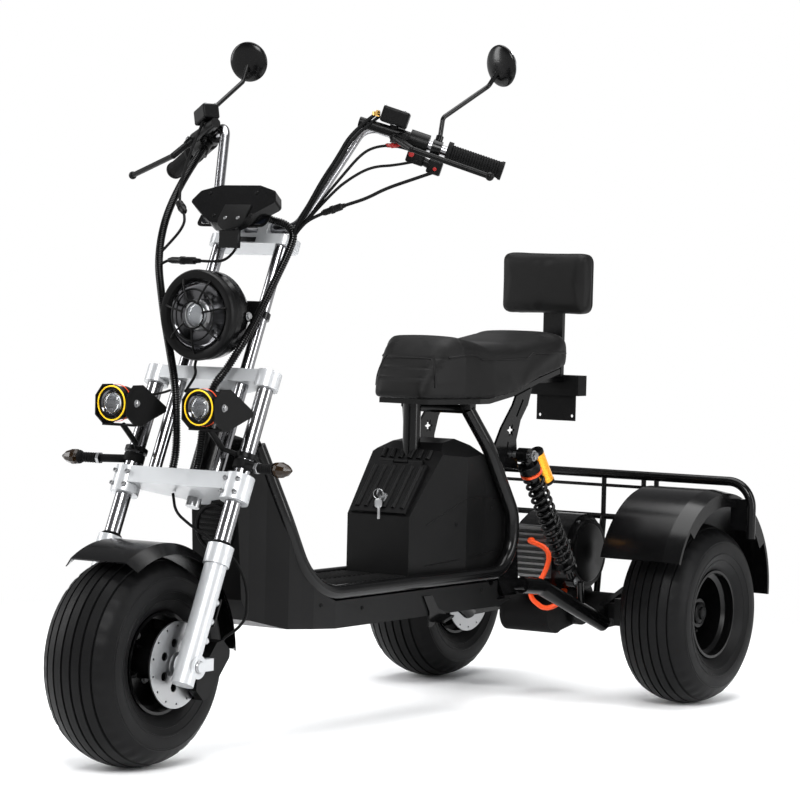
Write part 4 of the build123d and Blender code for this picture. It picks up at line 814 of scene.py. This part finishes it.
def loom_rings(name, points):
    """Corrugated rings along a loom's smooth centre line."""
    helper = curve(name + "_line", points, 12)
    bpy.context.scene.collection.objects.link(helper)
    line = [vert.co.copy() for vert in bpy.data.meshes.new_from_object(helper).vertices]
    bpy.data.objects.remove(helper)
    bm = bmesh.new()
    pitch = LOOM_PITCH * MM
    spare = 0
    for first, second in zip(line, line[1:]):
        step = second - first
        while spare < step.length:
            ring(bm, [(LOOM_R - 1.8, -LOOM_PITCH * 0.4), (LOOM_R + 0.4, -LOOM_PITCH * 0.24),
                      (LOOM_R + 0.4, LOOM_PITCH * 0.24), (LOOM_R - 1.8, LOOM_PITCH * 0.4)],
                 facing(first + step * (spare / step.length), step), 16)
            spare += pitch
        spare -= step.length
    piece(name, bm, "gloss_black")


def connector(bm, start, end, radius):
    """Plug housing between two points, with a collar at each end."""
    start, end = metres((start, end))
    length = (end - start).length / MM
    lathe(bm, [(0, 0)] + [(radius * share, length * along) for share, along in (
        (0.6, 0), (0.7, 0.12), (1, 0.16), (1, 0.46), (1.12, 0.48), (1.12, 0.6), (0.9, 0.64),
        (0.9, 0.88), (0.55, 1))] + [(0, length)], facing(start, end - start), 20)


def make_cables():
    """Thin cables from the controls into the looms, their plugs, and the looms."""
    for name, radius, points in CABLES:
        look = "rubber" if name == "left_hose_upper" else "matt_black"
        cable(name, metres(points), radius, look)
    plugs, red = bmesh.new(), bmesh.new()
    for start, end, radius in PLUGS:
        connector(plugs, start, end, radius)
    piece("cable_plugs", plugs, "satin_black")
    connector(red, (268, -334, 1267), (244, -356, 1267), 5)
    piece("red_plug", red, "red_plastic")
    for side, word in SIDES:
        points = metres([(side * x, y, z) for x, y, z in FOG_WIRE])
        cable(f"fog_wire_{word}", points, 2.5, "matt_black")
    for (side, word), points in zip(SIDES, (LEFT_LOOM, RIGHT_LOOM)):
        line = metres(points) + [fork(side * 0.030, -0.006, up) for up in (0.440, 0.4052)]
        core = cable(f"{word}_loom", line, LOOM_R - 1.4, "matt_black")
        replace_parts(core, "wiring_looms")
        loom_rings(f"{word}_loom_rings", line)


# ---- body shells
SHELL_SCREWS = ((-440, 430), (-440, 560), (-380, 300), (-230, 284), (24, 288), (250, 288),
                (386, 343), (330, 470), (180, 440), (379, 284))
COVER_BEADS = (
    ((74, 443), (110, 456), (150, 472), (190, 487), (225, 498), (275, 497), (322, 493),
     (370, 486)),
    ((72, 352), (120, 355), (180, 359), (240, 363), (300, 368), (369, 373)),
)
MAT_RIBS = 17
KEY_RING_R = 11


def from_the_side(side, line):
    """Rays towards the middle through (y, z) points, from one side."""
    return [(Vector((side * 300, y, z)) * MM, (-side, 0, 0)) for y, z in line]


def make_shield_details():
    """Round panel with bars on the leg shield's nose, and the screws of the shells."""
    bm = bmesh.new()
    (place, normal), = touches(node_tree("leg_shield"), [((0, -0.75, 0.467), (0, 1, 0))])
    matrix = facing(place - normal * 0.0005, normal)
    ring(bm, [(50.5, 0), (50.5, 3), (49, 4.2), (45, 4.2), (44, 2.5), (44, 0)], matrix, 48)
    for step in range(-3, 4):
        across = step * 11.5
        bar_half = math.sqrt(43.5 ** 2 - across ** 2) - 3
        prism(bm, rounded(bar_half, 3.2, 3), 2.8, matrix @ Matrix.Translation((0, across * MM, 0)),
              0.8)
    piece("shield_grille", bm, "shell_black", "chassis")
    screws = bmesh.new()
    shells = node_tree("leg_shield", "belly_pan", "battery_cover", "side_plates")
    for side, _ in SIDES:
        for place, normal in touches(shells, from_the_side(side, SHELL_SCREWS)):
            round_screw(screws, place, normal, 4.8)
    piece("shell_screws", screws, "matt_black", "chassis")


def make_cover_beads():
    """Two raised beads along each side of the battery cover."""
    tree = node_tree("battery_cover")
    for side, word in SIDES:
        for number, line in enumerate(COVER_BEADS):
            points = [place for place, _ in touches(tree, from_the_side(side, line))]
            cable(f"cover_bead_{word}_{number}", points, 1.4, "shell_black", "chassis", 4)


def make_mat_ribs():
    """Raised bars across the foot mat."""
    low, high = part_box("foot_mat")
    bm = bmesh.new()
    for step in range(MAT_RIBS):
        y = low[1] + (high[1] - low[1]) * (step + 0.7) / (MAT_RIBS + 0.4)
        for x in (-0.046, 0.046):
            box(bm, (80, 6, 2.8), Matrix.Translation((x, y, high[2] + 0.0006)), 1)
    piece("foot_mat_ribs", bm, "rubber", "chassis")


def make_lock():
    """Lock barrel on the lid, with a key in it, a ring and a second key."""
    tree = node_tree("battery_lid", "battery_cover")
    (place, away), = touches(tree, [((0, -0.3, 0.500), (0, 1, 0))])
    bm = bmesh.new()
    matrix = facing(place, away)
    lathe(bm, [(0, -1), (12.5, -1), (12.5, 3.5), (11, 5), (8.5, 5), (8, 3.5), (0, 3.5)], matrix, 32)
    lathe(bm, [(0, 3), (6.2, 3), (6.2, 6.5), (0, 6.8)], matrix, 24)
    piece("lock_barrel", bm, "steel", "battery_lid")
    bm = bmesh.new()
    bow = place + away * 0.020
    prism(bm, rounded(3.6, 1, 0.9), 22, facing(place + away * 0.004, away))
    prism(bm, rounded(12, 8.5, 8), 2.4, facing(bow - Vector((0.0012, 0, 0)), (1, 0, 0)), 0.8)
    key_ring = facing(bow + away * 0.008 - Vector((0, 0, 0.007)), (0.3, -0.9, 0.1))
    line = [key_ring @ (polar(KEY_RING_R, angle) * MM) for angle in turns(28)]
    for start, end in zip(line, line[1:] + line[:1]):
        rod(bm, start, end, 0.8, 0.2, 8)
    spare = key_ring @ Vector((0, -KEY_RING_R * MM, 0))
    down = Vector((0.1, -0.05, -1)).normalized()
    flat = (0.6, -0.8, 0)
    prism(bm, rounded(8.5, 10.5, 7), 2, facing(spare + down * 0.010, flat), 0.6)
    prism(bm, rounded(3, 13, 0.8), 1.6, facing(spare + down * 0.032, flat), 0.4)
    piece("keys", bm, "steel", "battery_lid")


# ---- rear suspension and motor
def shock(along, side=1, back=0):
    """Point along a shock absorber from its upper eye, or behind it."""
    axis = (SHOCK_EYE - SHOCK_TOP).normalized()
    point = SHOCK_TOP + axis * along + Vector((0, -axis.z, axis.y)).normalized() * back
    return Vector((point.x * side, point.y, point.z))


def make_shocks():
    """Collars, preload rings and bolts of the shock absorbers, and their reservoirs' caps."""
    caps, rings, bolts = bmesh.new(), bmesh.new(), bmesh.new()
    for side, _ in SIDES:
        axis = shock(0.1, side) - shock(0, side)
        ring(rings, [(23.2, 0), (26.2, 1), (26.2, 6.5), (23.2, 7.5)],
             facing(shock(0.046, side), axis), 36)
        ring(caps, [(23.2, 0), (25, 1.5), (25, 15), (23.2, 16.5)],
             facing(shock(0.028, side), axis), 36)
        for along, out in ((0.106, 1), (0.022, -1)):
            lathe(caps, [(0, 0), (17.6, -4), (17.6, 2), (15, 5), (6, 5), (5.5, 3), (0, 3)],
                  facing(shock(along, side, 0.044), axis * out), 32)
        hex_bolt(bolts, (side * 0.169, SHOCK_TOP.y, SHOCK_TOP.z), (side, 0, 0), 9.5, 9)
        hex_bolt(bolts, (side * 0.170, SHOCK_EYE.y, SHOCK_EYE.z), (side, 0, 0), 7.5, 7)
    piece("shock_collars", caps, "satin_black", "chassis")
    piece("shock_preload_rings", rings, "red_ring", "chassis")
    piece("shock_bolts", bolts, "steel", "chassis")


def make_motor_details():
    """Covers and screws on the motor's end faces."""
    tree = node_tree("drive_motor")
    bolts, covers = bmesh.new(), bmesh.new()
    low, high = (Vector(corner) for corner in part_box("drive_motor"))
    middle = (low + high) / 2
    for side, x in ((1, high.x), (-1, low.x)):
        centre = (x, middle.y, middle.z)
        lathe(covers, [(0, 4.2), (24, 4.2), (28, 2.2), (66, 2.2), (70, 0), (70, -1), (0, -1)],
              facing(centre, (side, 0, 0)), 48)
        rays = [(about_x(centre, side * 0.05, 0.080, angle), (-side, 0, 0))
                for angle in turns(8, math.pi / 8)]
        for place, _ in touches(tree, rays):
            cap_screw(bolts, place, (side, 0, 0), 4.5, 4)
    piece("motor_covers", covers, "satin_black", "chassis")
    piece("motor_screws", bolts, "steel", "chassis")


# ---- seat and backrest
CLOTH_FRAMES = 20
CLOTH_PRESSURE = 4
OVERSHOOT = 0.003
SEAT_SEAMS = (0.770, 0.792, 0.814)
SEAM_DEPTH = 0.0012
SEAM_HALF = 0.0022


def baked(made):
    """The object's mesh with its modifiers applied, which are then taken off."""
    mesh = bpy.data.meshes.new_from_object(
        made.evaluated_get(bpy.context.evaluated_depsgraph_get()))
    made.modifiers.clear()
    return mesh


def swell(made, node, cap, pin_below):
    """Cloth simulation with inner pressure, with each vertex held within the cap and the box."""
    verts = made.data.vertices
    group = made.vertex_groups.new(name="pinned")
    group.add([vert.index for vert in verts if vert.co.z < pin_below], 1, "REPLACE")
    cloth = made.modifiers.new("cloth", "CLOTH")
    cloth.settings.use_pressure = True
    cloth.settings.uniform_pressure_force = CLOTH_PRESSURE
    cloth.settings.vertex_group_mass = "pinned"
    cloth.settings.effector_weights.gravity = 0
    cloth.settings.quality = 5
    cloth.collision_settings.use_collision = False
    cloth.point_cache.frame_start = 1
    cloth.point_cache.frame_end = CLOTH_FRAMES
    for step in range(1, CLOTH_FRAMES + 1):
        bpy.context.scene.frame_set(step)
    swollen = baked(made)
    bpy.context.scene.frame_set(1)
    low, high = (Vector(corner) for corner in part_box(node))
    margin = Vector((OVERSHOOT,) * 3)
    high += margin
    low -= Vector((OVERSHOOT, OVERSHOOT, 0))
    for vert, end in zip(verts, swollen.vertices):
        step = end.co - vert.co
        if step.length > cap:
            step = step.normalized() * cap
        moved = vert.co + step
        vert.co = [min(max(part, least), most) for part, least, most in zip(moved, low, high)]


def padded_copy(name, node, inset, cap, voxel, pin_below, evening):
    """Padded piece swollen by cloth simulation from a slightly smaller copy of the CAD solid."""
    made = bpy.data.objects.new(name, nodes[node].data.copy())
    bpy.context.scene.collection.objects.link(made)
    bpy.context.view_layer.objects.active = made
    remesh = made.modifiers.new("remesh", "REMESH")
    remesh.mode = "VOXEL"
    remesh.voxel_size = voxel
    made.data = baked(made)
    for vert in made.data.vertices:
        if vert.co.z > pin_below:
            vert.co = vert.co - vert.normal * inset
    swell(made, node, cap, pin_below)
    smooth = made.modifiers.new("even", "SMOOTH")
    smooth.iterations = evening
    smooth.factor = 0.5
    finer = made.modifiers.new("finer", "SUBSURF")
    finer.levels = 1
    finer.render_levels = 1
    made.data = baked(made)
    made.data.materials.clear()
    made.data.materials.append(MATERIALS["leather"])
    for polygon in made.data.polygons:
        polygon.use_smooth = True
    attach(made, "chassis")
    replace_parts(made, node)
    return made


def piping(made, name, rays, radius=2.6):
    """Leather piping where rays from inside leave a padded piece."""
    points = [place for place, _ in touches(tree_of(made.data), rays)]
    if name == "backrest_piping":
        points += points[:2]
    cable(name, points, radius, "leather", "chassis", 4)


def clamped(value):
    return min(1, max(0, value))


def make_seat():
    """Seat cushion with a stitched nose, and piping along its edges."""
    made = padded_copy("seat_cushion_cloth", "seat_cushion", 0.002, 0.0045, 0.0055, 0.745, 14)
    for vert in made.data.vertices:
        reach = clamped((0.190 - vert.co.y) / 0.10)
        edge = max(0, (abs(vert.co.x) - 0.045) / 0.082)
        rise = clamped((vert.co.z - 0.760) / 0.095)
        vert.co.y += (0.050 * edge * edge + 0.034 * rise) * reach
        if vert.co.y > 0.60:
            vert.co.x *= 1 - 0.10 * ((vert.co.y - 0.60) / 0.05) ** 2
    for vert in made.data.vertices:
        if vert.normal.y < -0.5 and abs(vert.co.x) < 0.095:
            depth = sum(SEAM_DEPTH * math.exp(-((vert.co.z - height) / SEAM_HALF) ** 2)
                        for height in SEAT_SEAMS)
            vert.co = vert.co - vert.normal * depth
    for side, word in SIDES:
        rays = []
        for step in range(26):
            y = 0.150 + 0.482 * step / 25
            z = 0.800 if 0.24 < y < 0.45 else 0.812
            rays.append(((side * 0.080, y, z), (side, 0, 0.30)))
        piping(made, f"seat_piping_{word}", rays, 2.8)
        heights = (0.748, 0.762, 0.776, 0.790, 0.804, 0.816, 0.826)
        piping(made, f"seat_corner_piping_{word}",
               [((side * 0.060, 0.130, z), (side, -1, 0)) for z in heights])
    places = (-0.094, -0.080, -0.060, -0.040, -0.020, 0, 0.020, 0.040, 0.060, 0.080, 0.094)
    piping(made, "seat_nose_piping", [((x, 0.130, 0.806), (0, -1, 0.62)) for x in places])


def make_backrest():
    """Backrest pad with a piped rim near its rear edge."""
    made = padded_copy("backrest_cloth", "backrest_pad", 0.001, 0.0030, 0.0045, 0, 10)
    low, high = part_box("backrest_pad")
    centre = (0, high[1] - 0.015, (low[2] + high[2]) / 2)
    piping(made, "backrest_piping",
           [(centre, (math.cos(angle) * 1.6, 0, math.sin(angle))) for angle in turns(48)])


# ---- stage
WHITE = (1, 1, 1, 1)


def make_camera():
    data = bpy.data.cameras.new("camera")
    data.lens = CAMERA_LENS
    data.sensor_width = SENSOR_WIDTH
    data.clip_end = 100
    camera = bpy.data.objects.new("camera", data)
    bpy.context.scene.collection.objects.link(camera)
    camera.matrix_world = axes_at(CAMERA_PLACE, CAMERA_RIGHT, CAMERA_UP, CAMERA_BACK)
    bpy.context.scene.camera = camera


def seen_directly(tree):
    """1 for camera, glossy and transmission rays."""
    path = add_node(tree, "LightPath", {}).outputs
    first = add_node(tree, "Math", {0: path["Is Camera Ray"], 1: path["Is Glossy Ray"]},
                     operation="MAXIMUM").outputs[0]
    return add_node(tree, "Math", {0: first, 1: path["Is Transmission Ray"]},
                    operation="MAXIMUM").outputs[0]


def mixed(tree, share, first, second):
    """Mix of two shaders."""
    sockets = {"Fac": share, 1: first.outputs[0], 2: second.outputs[0]}
    return add_node(tree, "MixShader", sockets)


def make_floor():
    """White floor that keeps the object's shadow and fades into the white background."""
    bpy.ops.mesh.primitive_plane_add(size=60)
    floor = bpy.context.object
    floor.name = "floor"
    tree, shader = new_material("floor", (0.95, 0.95, 0.95), 0.6, specular=0.1)
    tint(tree, shader, noise(tree, 0.4, 1), (0.945, 0.945, 0.945), (0.96, 0.96, 0.96))
    glow = add_node(tree, "Emission", {"Color": WHITE, "Strength": 1.0})
    place = add_node(tree, "NewGeometry", {}).outputs["Position"]
    length = add_node(tree, "VectorMath", {0: place}, operation="LENGTH").outputs["Value"]
    fade = add_node(tree, "MapRange", {"From Min": 1.2, "From Max": 2.6, "Value": length},
                    interpolation_type="SMOOTHSTEP").outputs["Result"]
    share = add_node(tree, "Math", {0: fade, 1: seen_directly(tree)}, operation="MULTIPLY")
    mix = mixed(tree, share.outputs[0], shader, glow)
    tree.links.new(mix.outputs["Shader"], tree.nodes["Material Output"].inputs["Surface"])
    floor.data.materials.append(MATERIALS["floor"])


def make_lights():
    for name, place, target_z, size, power in (
            ("key", (2.6, -4.6, 4.2), 0.5, (2.2, 2.2), 300),
            ("left_strip", (4.6, 0.6, 2.2), 0.6, (1.2, 4), 140),
            ("right_strip", (-4.2, -2.4, 2.6), 0.7, (1.2, 3.6), 150),
            ("top", (0, 0.6, 4.8), 0.4, (4, 4), 260)):
        data = bpy.data.lights.new(name, "AREA")
        data.shape = "RECTANGLE"
        data.size, data.size_y = size
        data.energy = power
        light = bpy.data.objects.new(name, data)
        bpy.context.scene.collection.objects.link(light)
        light.location = place
        direction = Vector((0, 0, target_z)) - Vector(place)
        light.rotation_euler = direction.to_track_quat("-Z", "Y").to_euler()


def make_world():
    """White to the camera, darker upwards in mirrors and glass, soft grey for lighting."""
    world = bpy.data.worlds.new("studio")
    bpy.context.scene.world = world
    world.use_nodes = True
    tree = world.node_tree
    tree.nodes.clear()
    lit = add_node(tree, "Background", {"Color": (0.85, 0.87, 0.9, 1), "Strength": 0.7})
    white = add_node(tree, "Background", {"Color": WHITE, "Strength": 1.0})
    around = add_node(tree, "TexCoord", {}).outputs["Generated"]
    height = add_node(tree, "SeparateXYZ", {"Vector": around}).outputs["Z"]
    shade = ramp(tree, height, (0.06, (1, 1, 1)), (0.4, (0.22, 0.22, 0.225)))
    reflected = add_node(tree, "Background", {"Color": shade, "Strength": 1.0})
    seen = mixed(tree, seen_directly(tree), lit, reflected)
    camera_ray = add_node(tree, "LightPath", {}).outputs["Is Camera Ray"]
    add_node(tree, "OutputWorld", {"Surface": mixed(tree, camera_ray, seen, white).outputs[0]})


make_materials()
dress_nodes()
make_camera()
make_cables()
make_wheels()
make_fork()
make_headlight()
make_fog_lamps()
make_indicators()
make_tail()
make_grips()
make_controls()
make_bar_clamps()
make_display()
make_mirrors()
make_shield_details()
make_cover_beads()
make_mat_ribs()
make_lock()
make_shocks()
make_motor_details()
make_seat()
make_backrest()
make_floor()
make_lights()
make_world()
bpy.context.scene.view_settings.view_transform = "Standard"
